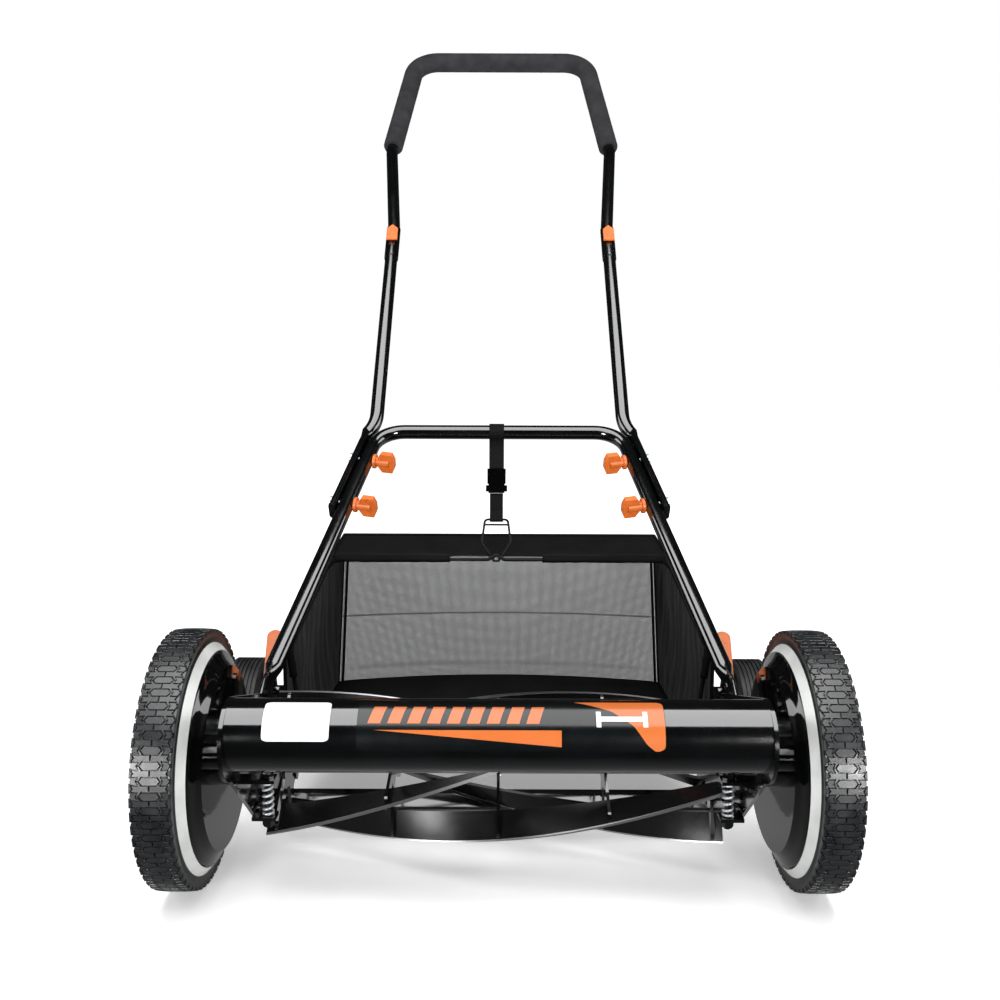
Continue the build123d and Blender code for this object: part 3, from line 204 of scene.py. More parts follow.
def wave(nodes, links, vector, axis, scale):
    node = nodes.new("ShaderNodeTexWave")
    node.wave_type = "BANDS"
    node.bands_direction = axis
    node.inputs["Scale"].default_value = scale
    node.inputs["Distortion"].default_value = 0.4
    node.inputs["Detail"].default_value = 1
    links.new(vector, node.inputs["Vector"])
    return node.outputs["Fac"]


def combine(nodes, links, a, b, operation):
    node = nodes.new("ShaderNodeMath")
    node.operation = operation
    links.new(a, node.inputs[0])
    links.new(b, node.inputs[1])
    return node.outputs["Value"]


def uv_coords(nodes):
    node = nodes.new("ShaderNodeUVMap")
    node.uv_map = "cloth"
    return node.outputs["UV"]


def weave_bands(nodes, links, across, along, operation):
    """Bands both ways in the cloth's own flat coordinates, from two thread spacings in metres."""
    flat = uv_coords(nodes)
    columns = wave(nodes, links, flat, "X", 1 / across / 6.28)
    rows = wave(nodes, links, flat, "Y", 1 / along / 6.28)
    return combine(nodes, links, columns, rows, operation)


def woven_cloth(name, dark, light, thread):
    """Plain weave."""
    mat, nodes, links, shader = new_material(name, dark, 0.75, specular=0.1)
    weave = weave_bands(nodes, links, thread, thread, "MAXIMUM")
    vector = object_coords(nodes, links)
    patches = noise_node(nodes, links, vector, 22, detail=5)
    mixed = combine(nodes, links, weave, patches, "MULTIPLY")
    color = ramp(nodes, links, mixed, [(0.15, dark), (0.6, light)])
    links.new(color, shader.inputs["Base Color"])
    bump(nodes, links, shader, weave, 0.35, 0.0004)
    return mat


def open_mesh(name, color, thread, cover, gap_alpha):
    """See-through mesh: threads, and gaps between them that fine fibres partly close."""
    mat, nodes, links, shader = new_material(name, color, 0.6, sheen=0.05)
    thick = weave_bands(nodes, links, thread, thread, "MAXIMUM")
    solid = remap(nodes, links, thick, gap_alpha, 1, 1 - cover - 0.06, 1 - cover + 0.06)
    links.new(solid, shader.inputs["Alpha"])
    vector = object_coords(nodes, links)
    patches = noise_node(nodes, links, vector, 12, detail=5)
    lighter = tuple(min(1, c * 1.5) for c in color)
    tone = ramp(nodes, links, patches, [(0.35, color), (0.65, lighter)])
    links.new(tone, shader.inputs["Base Color"])
    bump(nodes, links, shader, thick, 0.4, 0.0004)
    return mat


def webbing():
    """Polyester webbing with ribs along its length (cloth y)."""
    mat, nodes, links, shader = new_material("webbing", (0.002, 0.002, 0.0025), 0.6, specular=0.08)
    weave = weave_bands(nodes, links, 0.0016, 0.0009, "ADD")
    color = ramp(nodes, links, weave, [(0.3, (0.001, 0.001, 0.0013)), (1.0, (0.006, 0.006, 0.0068))])
    links.new(color, shader.inputs["Base Color"])
    bump(nodes, links, shader, weave, 0.5, 0.0005)
    return mat


def vinyl(name, color):
    """Thin glossy vinyl, one colour all over."""
    parts = new_material(name, color, 0.2, coat=0.15)
    lighter = tuple(min(1, c * 1.08) for c in color)
    return surface_detail(parts, [color, lighter], (0.17, 0.24), 25, 700, 0.04)


MATERIALS = {
    "paint": plain_finish(
        "gloss_black_paint", (0.001, 0.001, 0.0012), 0.12,
        [(0.0006, 0.0008, 0.001), (0.0014, 0.0017, 0.002)], (0.09, 0.15), (14, 420), 0.03,
        coat=1.0, specular=1.0,
    ),
    "gloss_plastic": plain_finish(
        "gloss_black_plastic", (0.003, 0.003, 0.003), 0.1,
        [(0.0008, 0.0009, 0.0011), (0.0018, 0.0019, 0.0021)], (0.06, 0.1), (9, 160), 0.03, coat=0.8,
    ),
    "satin_plastic": plain_finish(
        "satin_black_plastic", (0.02, 0.02, 0.021), 0.42,
        [(0.008, 0.008, 0.009), (0.014, 0.014, 0.015)], (0.36, 0.5), (40, 1400), 0.25,
    ),
    "wire": plain_finish(
        "black_wire", (0.002, 0.002, 0.0022), 0.4,
        [(0.0015, 0.0015, 0.0018), (0.003, 0.003, 0.0034)], (0.35, 0.45), (60, 900), 0.05,
        specular=0.25,
    ),
    "orange": plain_finish(
        "orange_plastic", (0.6, 0.13, 0.022), 0.32,
        [(0.56, 0.118, 0.018), (0.64, 0.146, 0.026)], (0.26, 0.38), (60, 1600), 0.12, specular=0.4,
    ),
    "silver": plain_finish(
        "rim_silver", (0.62, 0.62, 0.6), 0.38,
        [(0.62, 0.63, 0.615), (0.74, 0.75, 0.73)], (0.33, 0.46), (30, 900), 0.15, metallic=0.35,
    ),
    "tyre": plain_finish(
        "tyre_rubber", (0.01, 0.011, 0.012), 0.32,
        [(0.005, 0.0055, 0.0065), (0.011, 0.012, 0.0135)], (0.27, 0.38), (55, 1500), 0.3,
        specular=1.0,
    ),
    "rear_tyre": plain_finish(
        "rear_wheel_plastic", (0.022, 0.022, 0.024), 0.5,
        [(0.009, 0.009, 0.01), (0.018, 0.018, 0.019)], (0.4, 0.55), (45, 1100), 0.3,
    ),
    "zinc": plain_finish(
        "zinc_plate", (0.55, 0.58, 0.6), 0.3,
        [(0.45, 0.48, 0.5), (0.68, 0.7, 0.7)], (0.24, 0.4), (120, 1800), 0.15, metallic=0.6,
    ),
    "steel": brushed_steel(),
    "blade": blade_steel(),
    "foam": foam(),
    "cloth": woven_cloth("bag_cloth", (0.003, 0.003, 0.0033), (0.008, 0.0078, 0.0085), 0.0011),
    "mesh_rear": open_mesh("bag_mesh", (0.02, 0.02, 0.0215), 0.0008, 0.4, 0.36),
    # The sides' copy of the mesh is darker and denser than the rear's: the darker colour is painted shade,
    # and the higher cover and more opaque gaps stand in for threads crowding together when seen edge-on.
    "shaded_side_mesh": open_mesh("bag_mesh_side", (0.007, 0.007, 0.0075), 0.0008, 0.8, 0.75),
    "webbing": webbing(),
    "thread": vinyl("thread", (0.05, 0.05, 0.052)),
    "vinyl_dark": vinyl("vinyl_dark", (0.0016, 0.0026, 0.003)),
    "vinyl_orange": vinyl("vinyl_orange", (0.42, 0.105, 0.024)),
    "vinyl_white": vinyl("vinyl_white", (0.66, 0.66, 0.65)),
}

FINISHES = {
    "paint": [
        "side_plate_left", "side_plate_right", "front_tube", "lower_handle", "middle_tube_left",
        "middle_tube_right", "upper_handle", "cutter_bar", "height_arm_left", "height_arm_right",
        "reel_spiders", "handle_foot_bolts", "frame_bolts", "adjuster_screw_left",
        "adjuster_screw_right",
    ],
    "wire": ["catcher_frame", "strap_ring"],
    "gloss_plastic": [
        "gear_cover_left", "gear_cover_right", "hub_cap_left", "hub_cap_right", "strap_buckle",
    ],
    "satin_plastic": ["wheel_disc_left", "wheel_disc_right"],
    "orange": [
        "height_lever_left", "height_lever_right", "lock_button_left", "lock_button_right",
        "wing_knob_lower_left", "wing_knob_lower_right", "wing_knob_upper_left",
        "wing_knob_upper_right",
    ],
    "silver": ["rim_ring_left", "rim_ring_right"],
    "rear_tyre": ["rear_wheel_left", "rear_wheel_right"],
    "zinc": [
        "knob_bolts", "arm_pivots", "knife_screws", "reel_rivets", "pinion_left", "pinion_right",
    ],
    "steel": [
        "rear_tie_rod", "reel_shaft", "bed_knife", "wheel_axle_left", "wheel_axle_right",
        "reel_bearings",
    ],
    "blade": ["reel_blades"],
}


def dress_frame():
    """Give every CAD node that stays in view its material and smooth shading."""
    for finish, names in FINISHES.items():
        for name in names:
            node = NODES[name]
            node.data.materials.clear()
            node.data.materials.append(MATERIALS[finish])
            weld = node.modifiers.new("weld", "WELD")
            weld.merge_threshold = 0.00001
            smooth_by_angle(node)


def smooth_faces(mesh):
    for polygon in mesh.polygons:
        polygon.use_smooth = True


def smooth_by_angle(obj):
    """Shade smooth, keeping edges sharper than SHARP_DEGREES."""
    smooth_faces(obj.data)
    modifier = obj.modifiers.new("smooth", "NODES")
    modifier.node_group = bpy.data.node_groups.get("smooth_by_angle") or smooth_group()


def smooth_group():
    """Geometry nodes that mark the sharp edges."""
    tree = bpy.data.node_groups.new("smooth_by_angle", "GeometryNodeTree")
    tree.interface.new_socket("Geometry", in_out="INPUT", socket_type="NodeSocketGeometry")
    tree.interface.new_socket("Geometry", in_out="OUTPUT", socket_type="NodeSocketGeometry")
    start, end = tree.nodes.new("NodeGroupInput"), tree.nodes.new("NodeGroupOutput")
    angle = tree.nodes.new("GeometryNodeInputMeshEdgeAngle")
    compare = tree.nodes.new("FunctionNodeCompare")
    compare.operation = "LESS_EQUAL"
    compare.inputs[1].default_value = math.radians(SHARP_DEGREES)
    faces = tree.nodes.new("GeometryNodeSetShadeSmooth")
    edges = tree.nodes.new("GeometryNodeSetShadeSmooth")
    edges.domain = "EDGE"
    links = tree.links
    links.new(angle.outputs["Unsigned Angle"], compare.inputs[0])
    links.new(start.outputs[0], faces.inputs["Geometry"])
    links.new(faces.outputs[0], edges.inputs["Geometry"])
    links.new(compare.outputs[0], edges.inputs["Shade Smooth"])
    links.new(edges.outputs[0], end.inputs[0])
    return tree


# ---- Mesh helpers ------------------------------------------------------------
def new_object(name, data):
    obj = bpy.data.objects.new(name, data)
    bpy.context.scene.collection.objects.link(obj)
    return obj


def mesh_object(name, verts, faces, material, smooth=True):
    mesh = bpy.data.meshes.new(name)
    mesh.from_pydata([tuple(v) for v in verts], [], faces)
    mesh.materials.append(MATERIALS[material])
    mesh.update()
    obj = new_object(name, mesh)
    if smooth:
        smooth_faces(mesh)
    return obj


def solidify(obj, thickness, offset=0.0):
    modifier = obj.modifiers.new("thickness", "SOLIDIFY")
    modifier.thickness = thickness
    modifier.offset = offset
    modifier.use_even_offset = True


def cloth_grid(name, point, columns, rows, material, size):
    """Grid of cloth; point(u, v) gives a place for u, v from 0 to 1; size is its flat size."""
    verts = [point(i / columns, j / rows) for j in range(rows + 1) for i in range(columns + 1)]
    faces = []
    for j in range(rows):
        for i in range(columns):
            a = j * (columns + 1) + i
            faces.append((a, a + 1, a + columns + 2, a + columns + 1))
    obj = mesh_object(name, verts, faces, material)
    uv = obj.data.uv_layers.new(name="cloth")
    for polygon in obj.data.polygons:
        for loop in polygon.loop_indices:
            index = obj.data.loops[loop].vertex_index
            j, i = divmod(index, columns + 1)
            uv.data[loop].uv = (i / columns * size[0], j / rows * size[1])
    return obj


def tube_along(name, points, radius, material, sides):
    """Round tube through points, with its ends closed."""
    curve = bpy.data.curves.new(name, "CURVE")
    curve.dimensions = "3D"
    curve.bevel_depth = radius
    curve.bevel_resolution = max(1, sides // 4)
    curve.use_fill_caps = True
    spline = curve.splines.new("POLY")
    spline.points.add(len(points) - 1)
    for spline_point, place in zip(spline.points, points):
        spline_point.co = (*place, 1)
    source = new_object(name + "_curve", curve)
    graph = bpy.context.evaluated_depsgraph_get()
    mesh = bpy.data.meshes.new_from_object(source.evaluated_get(graph))
    bpy.data.objects.remove(source)
    mesh.name = name
    mesh.materials.clear()
    mesh.materials.append(MATERIALS[material])
    smooth_faces(mesh)
    return new_object(name, mesh)


def rounded_path(corners, radii, step_degrees=6):
    """Points along straight runs joined by arcs."""
    points = [Vector(corners[0])]
    for before, corner, after, radius in zip(corners, corners[1:], corners[2:], radii):
        corner = Vector(corner)
        back = (Vector(before) - corner).normalized()
        ahead = (Vector(after) - corner).normalized()
        half = back.angle(ahead) / 2
        reach = radius / math.tan(half)
        middle = corner + (back + ahead).normalized() * (radius / math.sin(half))
        start, end = corner + back * reach, corner + ahead * reach
        axis = (start - middle).cross(end - middle).normalized()
        sweep = (start - middle).angle(end - middle)
        steps = max(2, round(math.degrees(sweep) / step_degrees))
        for k in range(steps + 1):
            turn = Matrix.Rotation(sweep * k / steps, 3, axis)
            points.append(middle + turn @ (start - middle))
    points.append(Vector(corners[-1]))
    return points


# ---- Tyres -------------------------------------------------------------------
TREAD_ROWS = 60
TREAD_PITCH = 2 * math.pi * WHEEL_R * 1000 / TREAD_ROWS
TYRE_MIDDLE, TYRE_STEPS = (TYRE_IN + TYRE_OUT) / 2, 240
TREAD_EDGE, CROWN_DROP = 18.5, 0.0009
TREAD_GROOVE, TREAD_CHAMFER, CHAMFER_INSET = 0.0021, 0.0004, 0.35
LUG_TOP_DROP, LUG_DEPTH, LUG_THICK = 0.0012, 0.0055, 2.0


def tread_blocks():
    """Outlines of the tread's blocks over one pitch, millimetres: x across, v round."""
    half = TREAD_PITCH / 2
    hexagon = [(9.1, 0), (6.7, 3.2), (-6.7, 3.2), (-9.1, 0), (-6.7, -3.2), (6.7, -3.2)]
    arrow = [(12.3, 0), (10.3, 3.2), (15.9, 3.2), (17.8, 0), (15.9, -3.2), (10.3, -3.2)]
    low = [(0.5, 4.1), (7.0, 4.1), (10.0, 0.25), (11.2, 0.25), (9.3, 3.6), (9.7, 4.1), (16.0, 4.1)]
    land = low + [(14.2, half)] + [(x, 2 * half - v) for x, v in reversed(low)]
    lug = [(TREAD_EDGE, half - 4.6), (15.2, half), (TREAD_EDGE, half + 4.6)]
    blocks = [hexagon]
    for outline in (arrow, land, lug):
        blocks.append(outline)
        blocks.append([(-x, v) for x, v in outline])
    return blocks


def tyre_place(side, x, v, radius):
    """Place on a tyre: x mm across from its middle, v mm round the tread, radius in metres."""
    angle = v / 1000 / WHEEL_R
    return Vector((
        side * TYRE_MIDDLE + x / 1000, radius * math.cos(angle), WHEEL_R + radius * math.sin(angle)
    ))


def add_tread_block(bm, side, outline, around):
    """One raised block with a small chamfer round its top."""
    cx = sum(x for x, v in outline) / len(outline)
    cv = sum(v for x, v in outline) / len(outline)
    levels = [
        (WHEEL_R - TREAD_GROOVE - 0.0005, -0.05),
        (WHEEL_R - TREAD_CHAMFER, 0.0),
        (WHEEL_R, CHAMFER_INSET),
    ]
    rings = []
    for radius, inset in levels:
        ring = []
        for x, v in outline:
            keep = max(0.2, 1 - inset / math.hypot(x - cx, v - cv))
            edge_x = cx + (x - cx) * keep
            edge_v = cv + (v - cv) * keep + around
            crown = CROWN_DROP * (abs(edge_x) / TREAD_EDGE) ** 3
            ring.append(bm.verts.new(tyre_place(side, edge_x, edge_v, radius - crown)))
        rings.append(ring)
    count = len(outline)
    for low, high in zip(rings, rings[1:]):
        for k in range(count):
            after = (k + 1) % count
            bm.faces.new((low[k], low[after], high[after], high[k]))
    bm.faces.new(rings[-1])


def add_carcass(bm, side):
    """Closed ring of the tyre's cross-section: (x, radius) in metres, from one bead to the other."""
    base = WHEEL_R - TREAD_GROOVE
    half = [
        (0.0185, RIM_R), (0.0185, RIM_R + 0.002), (0.0178, RIM_R + 0.003), (0.0178, base - 0.004),
        (0.0184, base - 0.0025), (0.0176, base - 0.0008), (0.013, base),
    ]
    profile = [(-x, r) for x, r in half] + half[::-1]
    loops = []
    for k in range(TYRE_STEPS):
        angle = 2 * math.pi * k / TYRE_STEPS
        across, up = math.cos(angle), math.sin(angle)
        loops.append([
            bm.verts.new((side * TYRE_MIDDLE + x, r * across, WHEEL_R + r * up)) for x, r in profile
        ])
    for k in range(TYRE_STEPS):
        now, after = loops[k], loops[(k + 1) % TYRE_STEPS]
        for i in range(len(profile)):
            j = (i + 1) % len(profile)
            bm.faces.new((now[i], after[i], after[j], now[j]))


def add_shoulder_lug(bm, side, sign, around):
    """Lug that wraps from the tread down the shoulder."""
    low, high = WHEEL_R - LUG_DEPTH, WHEEL_R - LUG_TOP_DROP
    corners = [
        (around - 4.4, high, TREAD_EDGE), (around + 4.4, high, TREAD_EDGE),
        (around + 3.4, low, 18.3), (around - 3.4, low, 18.3),
    ]
    outer = [bm.verts.new(tyre_place(side, sign * x, v, r)) for v, r, x in corners]
    inner = [
        bm.verts.new(tyre_place(side, sign * (x - LUG_THICK), v, r - 0.0002)) for v, r, x in corners
    ]
    bm.faces.new(outer)
    bm.faces.new(list(reversed(inner)))
    for k in range(4):
        j = (k + 1) % 4
        bm.faces.new((outer[k], inner[k], inner[j], outer[j]))


def make_tyre(word, side):
    """Moulded tyre: carcass with raised interlocking blocks and shoulder lugs."""
    bm = bmesh.new()
    for row in range(TREAD_ROWS):
        for outline in tread_blocks():
            add_tread_block(bm, side, outline, row * TREAD_PITCH)
    add_carcass(bm, side)
    for row in range(TREAD_ROWS):
        for sign in (-1, 1):
            add_shoulder_lug(bm, side, sign, (row + 0.5) * TREAD_PITCH)
    bmesh.ops.recalc_face_normals(bm, faces=bm.faces)
    mesh = bpy.data.meshes.new(f"tread_{word}")
    bm.to_mesh(mesh)
    bm.free()
    mesh.materials.append(MATERIALS["tyre"])
    tyre = new_object(f"tyre_tread_{word}", mesh)
    smooth_by_angle(tyre)
    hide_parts(f"tyre_{word}")
    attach(tyre, f"wheel_{word}")


# ---- Catcher -----------------------------------------------------------------
REAR_FLAT, REAR_AREA = (0.4475, 0.2085), 0.0921
FLOOR_FLAT, FLOOR_AREA = (0.479, 0.272), 0.128
FLAP_FLAT, FLAP_AREA = (0.4535, 0.0857), 0.0377
BAG_FRONT_Y, BAG_FRONT_X, BAG_REAR_X = 0.136, 0.2415, 0.222
FLOOR_FRONT, REAR_FOOT, REAR_TOP = (0.136, 0.057), (0.406, 0.071), (0.464, 0.271)
FRONT_TOP, SIDE_CREST, FLAP_FRONT = (0.136, 0.205), (0.327, 0.254), (0.3795, 0.257)
NOTCH_X, NOTCH_HALF, NOTCH_DEPTH = -0.004, 0.062, 0.0035
WIRE_INSET, WIRE_Y, WIRE_Z, WIRE_R = 0.0055, 0.376, 0.253, 0.0025
CLOTH_THICK, MESH_THICK, SLEEVE_R = 0.0012, 0.0007, 0.0042
# values in _V and _START are shares of a sheet, all others metres except the count
SEAM_V, SEAM_SPAN_V, SEAM_WIDTH, HEM_V, STITCH_COUNT = 0.44, 0.009, 0.0019, 0.1, 110
BINDING_R, EDGE_R, TOP_R, PIPING_R, LIP_R = 0.0021, 0.0022, 0.002, 0.0019, 0.0024
PIPING_INSET, SIDE_TOP_START, SLEEVE_END = 0.0052, 0.745, (0.2315, 0.1395, 0.165)


def bag_half(y):
    """Half-width of the catcher at one distance back."""
    return BAG_FRONT_X + (BAG_REAR_X - BAG_FRONT_X) * (y - BAG_FRONT_Y) / (REAR_TOP[0] - BAG_FRONT_Y)


def lerp(a, b, t):
    return tuple(p + (q - p) * t for p, q in zip(a, b))


def ripple(x, y, z, size, depth, seed):
    """Smooth wrinkle height at a place."""
    return depth * noise.noise(Vector((x / size + seed, y / size, z / size)))


def foot_edge(u):
    """Rear bottom edge of the bag, bellied out rearwards and up in the middle."""
    belly = math.sin(math.pi * u) ** 0.8
    return REAR_FOOT[0] + 0.018 * belly, REAR_FOOT[1] + 0.005 * belly


def rear_point(u, v):
    foot_y, foot_z = foot_edge(u)
    y, z = lerp((foot_y, foot_z), REAR_TOP, v)
    x = (2 * u - 1) * (bag_half(REAR_FOOT[0] + (REAR_TOP[0] - REAR_FOOT[0]) * v) - 0.002)
    edge = min(1, 8 * u, 8 * (1 - u), 6 * v + 0.2, 6 * (1 - v))
    belly = 0.005 * math.sin(math.pi * u) * math.sin(math.pi * v)
    soft = ripple(x, 0, z * 0.6, 0.09, 0.002, 3) + ripple(x, 0, z, 0.03, 0.0003, 9)
    fold = 0.0022 * math.exp(-(((v - 0.07) / 0.02) ** 2))
    return x, y - 0.001 + belly + edge * (soft + fold), z


def floor_point(u, v):
    foot_y, foot_z = foot_edge(u)
    y, z = lerp(FLOOR_FRONT, (foot_y, foot_z), v)
    x = (2 * u - 1) * (bag_half(y) - 0.002)
    edge = min(1, 8 * u, 8 * (1 - u), 8 * v, 8 * (1 - v))
    sag = 0.006 * math.sin(math.pi * u) * math.sin(math.pi * v)
    return x, y, z + 0.001 - sag + edge * ripple(x, y, 0, 0.07, 0.003, 21)


def flap_point(u, v):
    half = bag_half(FLAP_FRONT[0]) + (BAG_REAR_X - bag_half(FLAP_FRONT[0])) * v
    x = (2 * u - 1) * half
    reach = 1 / (1 + math.exp((abs(x - NOTCH_X) - NOTCH_HALF) / 0.0016))
    start = lerp(FLAP_FRONT, REAR_TOP, reach * NOTCH_DEPTH / FLAP_FLAT[1])
    y, z = lerp(start, REAR_TOP, v)
    edge = min(1, 10 * u, 10 * (1 - u), 5 * v, 5 * (1 - v))
    sag = 0.0025 * math.sin(math.pi * u) * math.sin(math.pi * v)
    return x, y, z - 0.001 - sag + edge * ripple(x, y, 0, 0.05, 0.002, 5)


def side_top(u):
    """Top edge of a side, from the front corner to the rear corner."""
    y = BAG_FRONT_Y + (REAR_TOP[0] - BAG_FRONT_Y) * u
    runs = [FRONT_TOP, SIDE_CREST, FLAP_FRONT, REAR_TOP]
    for a, b in zip(runs, runs[1:]):
        if y <= b[0] + 1e-9:
            return y, a[1] + (b[1] - a[1]) * (y - a[0]) / (b[0] - a[0])
    return REAR_TOP


def side_point(side):
    def point(u, v):
        y, z = lerp(lerp(FLOOR_FRONT, REAR_FOOT, u), side_top(u), v)
        edge = min(1, 10 * u, 10 * (1 - u), 8 * v, 8 * (1 - v))
        folds = ripple(y * 2.2, z * 0.25, 0, 0.03, 0.0042, 31 + side)
        soft = ripple(y, z, 0, 0.08, 0.004, 40 + side)
        belly = 0.004 * math.sin(math.pi * u) * math.sin(math.pi * v)
        return side * (bag_half(y) - 0.001 + belly + edge * (folds + soft)), y, z

    return point


def bag_trim(name, points, radius):
    """Cloth binding sewn along an edge of the bag."""
    trim = tube_along(name, points, radius, "cloth", 12)
    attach(trim, "catcher")
    return trim


def edge_points(point, start, end, steps=40, shift=(0, 0, 0)):
    """Points along an edge of a cloth grid, from (u, v) to (u, v)."""
    points = []
    for k in range(steps + 1):
        u, v = lerp(start, end, k / steps)
        points.append(Vector(point(u, v)) + Vector(shift))
    return points


def make_catcher():
    """Bag of five sewn sheets on the wire frame, with bound edges and wire sleeves."""
    rear = cloth_grid("bag_rear_sheet", rear_point, 96, 60, "mesh_rear", REAR_FLAT)
    solidify(rear, MESH_THICK)
    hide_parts("bag_rear")
    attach(rear, "catcher")
    seam = cloth_grid(
        "bag_rear_seam",
        lambda u, v: Vector(rear_point(u, SEAM_V + SEAM_SPAN_V * v)) + Vector((0, -0.0009, 0)),
        96, 2, "mesh_rear", (REAR_FLAT[0], SEAM_WIDTH),
    )
    solidify(seam, 0.0008)
    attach(seam, "catcher")
    rear_trims = [
        bag_trim("bag_binding_rear_foot", edge_points(rear_point, (0, 0), (1, 0)), BINDING_R),
        bag_trim("bag_binding_rear_top", edge_points(rear_point, (0, 1), (1, 1)), EDGE_R),
    ]
    for word, side in SIDES.items():
        u = (side + 1) / 2
        inward = -side * PIPING_INSET
        rear_trims.append(
            bag_trim(
                f"bag_piping_rear_{word}",
                edge_points(rear_point, (u, 0), (u, 1), 30, (inward, -0.001, 0)), PIPING_R,
            )
        )
    floor = cloth_grid("bag_floor_sheet", floor_point, 80, 50, "cloth", FLOOR_FLAT)
    solidify(floor, CLOTH_THICK)
    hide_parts("bag_floor")
    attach(floor, "catcher")
    lip = bag_trim("bag_binding_floor_front", edge_points(floor_point, (0, 0), (1, 0)), LIP_R)
    flap = cloth_grid("bag_flap_sheet", flap_point, 160, 24, "cloth", FLAP_FLAT)
    solidify(flap, CLOTH_THICK)
    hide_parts("bag_flap")
    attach(flap, "catcher")
    stitch = flap_stitching()
    for word, side in SIDES.items():
        make_side(word, side)
        make_sleeve(word, side)


def flap_stitching():
    """Row of stitches along the flap's front hem."""
    verts, faces = [], []
    above, wide, high = Vector((0, 0, 0.0008)), Vector((0, 0.00035, 0)), Vector((0, 0, 0.0003))
    for k in range(STITCH_COUNT):
        u = (k + 0.5) / STITCH_COUNT
        x = flap_point(u, 0)[0]
        if abs(x - NOTCH_X) < NOTCH_HALF + 0.004:
            continue
        a = Vector(flap_point(u - 0.3 / STITCH_COUNT, HEM_V)) + above
        b = Vector(flap_point(u + 0.3 / STITCH_COUNT, HEM_V)) + above
        crest = (a + b) / 2 + high
        base = len(verts)
        verts += [a - wide, b - wide, b + wide, a + wide, crest - wide * 0.5, crest + wide * 0.5]
        faces += [
            (base, base + 1, base + 4), (base + 1, base + 2, base + 5, base + 4),
            (base + 2, base + 3, base + 5), (base + 3, base, base + 4, base + 5),
            (base + 3, base + 2, base + 1, base),
        ]
    stitch = mesh_object("bag_flap_stitches", verts, faces, "thread")
    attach(stitch, "catcher")
    return stitch


def make_side(word, side):
    """Mesh side panel with bound edges."""
    point = side_point(side)
    # The panel takes the darker side copy of the mesh: painted shade.
    panel = cloth_grid(f"bag_side_sheet_{word}", point, 90, 50, "shaded_side_mesh", (0.3, 0.2))
    solidify(panel, MESH_THICK)
    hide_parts(f"bag_side_{word}")
    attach(panel, "catcher")
    trims = [
        bag_trim(f"bag_binding_side_foot_{word}", edge_points(point, (0, 0), (1, 0)), BINDING_R),
        bag_trim(f"bag_binding_side_rear_{word}", edge_points(point, (1, 0), (1, 1)), EDGE_R),
        bag_trim(f"bag_binding_side_top_{word}", edge_points(point, (SIDE_TOP_START, 1), (1, 1)), TOP_R),
        bag_trim(f"bag_binding_side_front_{word}", edge_points(point, (0, 0), (0, 1)), BINDING_R),
    ]


def make_sleeve(word, side):
    """Cloth sleeve sewn round the frame wire, from the flap's notch to the front corner."""
    notch_end = NOTCH_X + side * NOTCH_HALF
    end_x, end_y, end_z = SLEEVE_END
    corners = [
        (notch_end, WIRE_Y, WIRE_Z),
        (side * (bag_half(WIRE_Y) - WIRE_INSET), WIRE_Y, WIRE_Z),
        (side * (bag_half(SIDE_CREST[0]) - WIRE_INSET), SIDE_CREST[0], WIRE_Z - 0.001),
        (side * (bag_half(end_y) - WIRE_INSET), end_y, FRONT_TOP[1] - WIRE_INSET),
        (side * end_x, end_y, end_z),
    ]
    path = rounded_path(corners, [0.012, 0.04, 0.012])
    sleeve = sweep_rings(
        f"bag_wire_sleeve_{word}", resample(path, 0.004), 14,
        lambda k, a: SLEEVE_R + 0.0005 * noise.noise(Vector((k * 0.4, math.cos(a), side * 7))),
        "cloth", WIRE_R + 0.0003,
    )
    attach(sleeve, "catcher")


def resample(points, step):
    """Evenly spaced points along a run of points."""
    even = [Vector(points[0])]
    carry = 0.0
    for a, b in zip(points, points[1:]):
        a, b = Vector(a), Vector(b)
        length = (b - a).length
        position = step - carry
        while position < length:
            even.append(a.lerp(b, position / length))
            position += step
        carry = (carry + length) % step
    even.append(Vector(points[-1]))
    return even


def sweep_rings(name, path, sides, radius, material, bore):
    """Sleeve along a path: radius(k, angle) outside, and round bore ends turned inwards."""
    verts, faces, rows = [], [], []
    normal = None
    last = len(path) - 1
    for k, place in enumerate(path):
        ahead = (path[min(last, k + 1)] - path[max(0, k - 1)]).normalized()
        if normal is None:
            normal = ahead.orthogonal().normalized()
        normal = (normal - ahead * normal.dot(ahead)).normalized()
        across = ahead.cross(normal)
        rings = [None]
        if k in (0, last):
            inner = [(bore, 0.0), ((bore + radius(k, 0)) / 2, 0.0)]
            rings = inner + [None] if k == 0 else [None] + inner[::-1]
        for ring in rings:
            row = []
            for i in range(sides):
                angle = 2 * math.pi * i / sides
                reach = radius(k, angle) if ring is None else ring[0]
                spot = place + (normal * math.cos(angle) + across * math.sin(angle)) * reach
                row.append(len(verts))
                verts.append(spot)
            rows.append(row)
    for low, high in zip(rows, rows[1:]):
        for i in range(sides):
            j = (i + 1) % sides
            faces.append((low[i], high[i], high[j], low[j]))
    return mesh_object(name, verts, faces, material)


# ---- Strap -------------------------------------------------------------------
STRAP_X, STRAP_HALF = -0.004, 0.010
STRAP_FOOT = Vector((STRAP_X, 0.3835, 0.262))
HANDLE_Y, HANDLE_Z, CROSSBAR_AT = 0.048, 0.187, 0.4378
CROSSBAR = Vector((STRAP_X, HANDLE_Y + CROSSBAR_AT * 0.84516, HANDLE_Z + CROSSBAR_AT * 0.53451))
STRAP_DOWN = (STRAP_FOOT - CROSSBAR).normalized()
STRAP_FRONT = Vector((1, 0, 0)).cross(STRAP_DOWN).normalized()
LOOP_R, LEG_END, LEG_STEP, LEG_GAP = 0.0108, 0.0496, 0.0012, 0.00095
LOWER_START, RING_WIRE_AT, RING_TURN_R = 0.0834, 0.119, 0.0027
WEBBING_SECTION = [
    (-1, 0.55), (-0.97, 0.85), (-0.9, 1), (-0.45, 1), (0, 1), (0.45, 1), (0.9, 1), (0.97, 0.85), (1, 0.55),
]


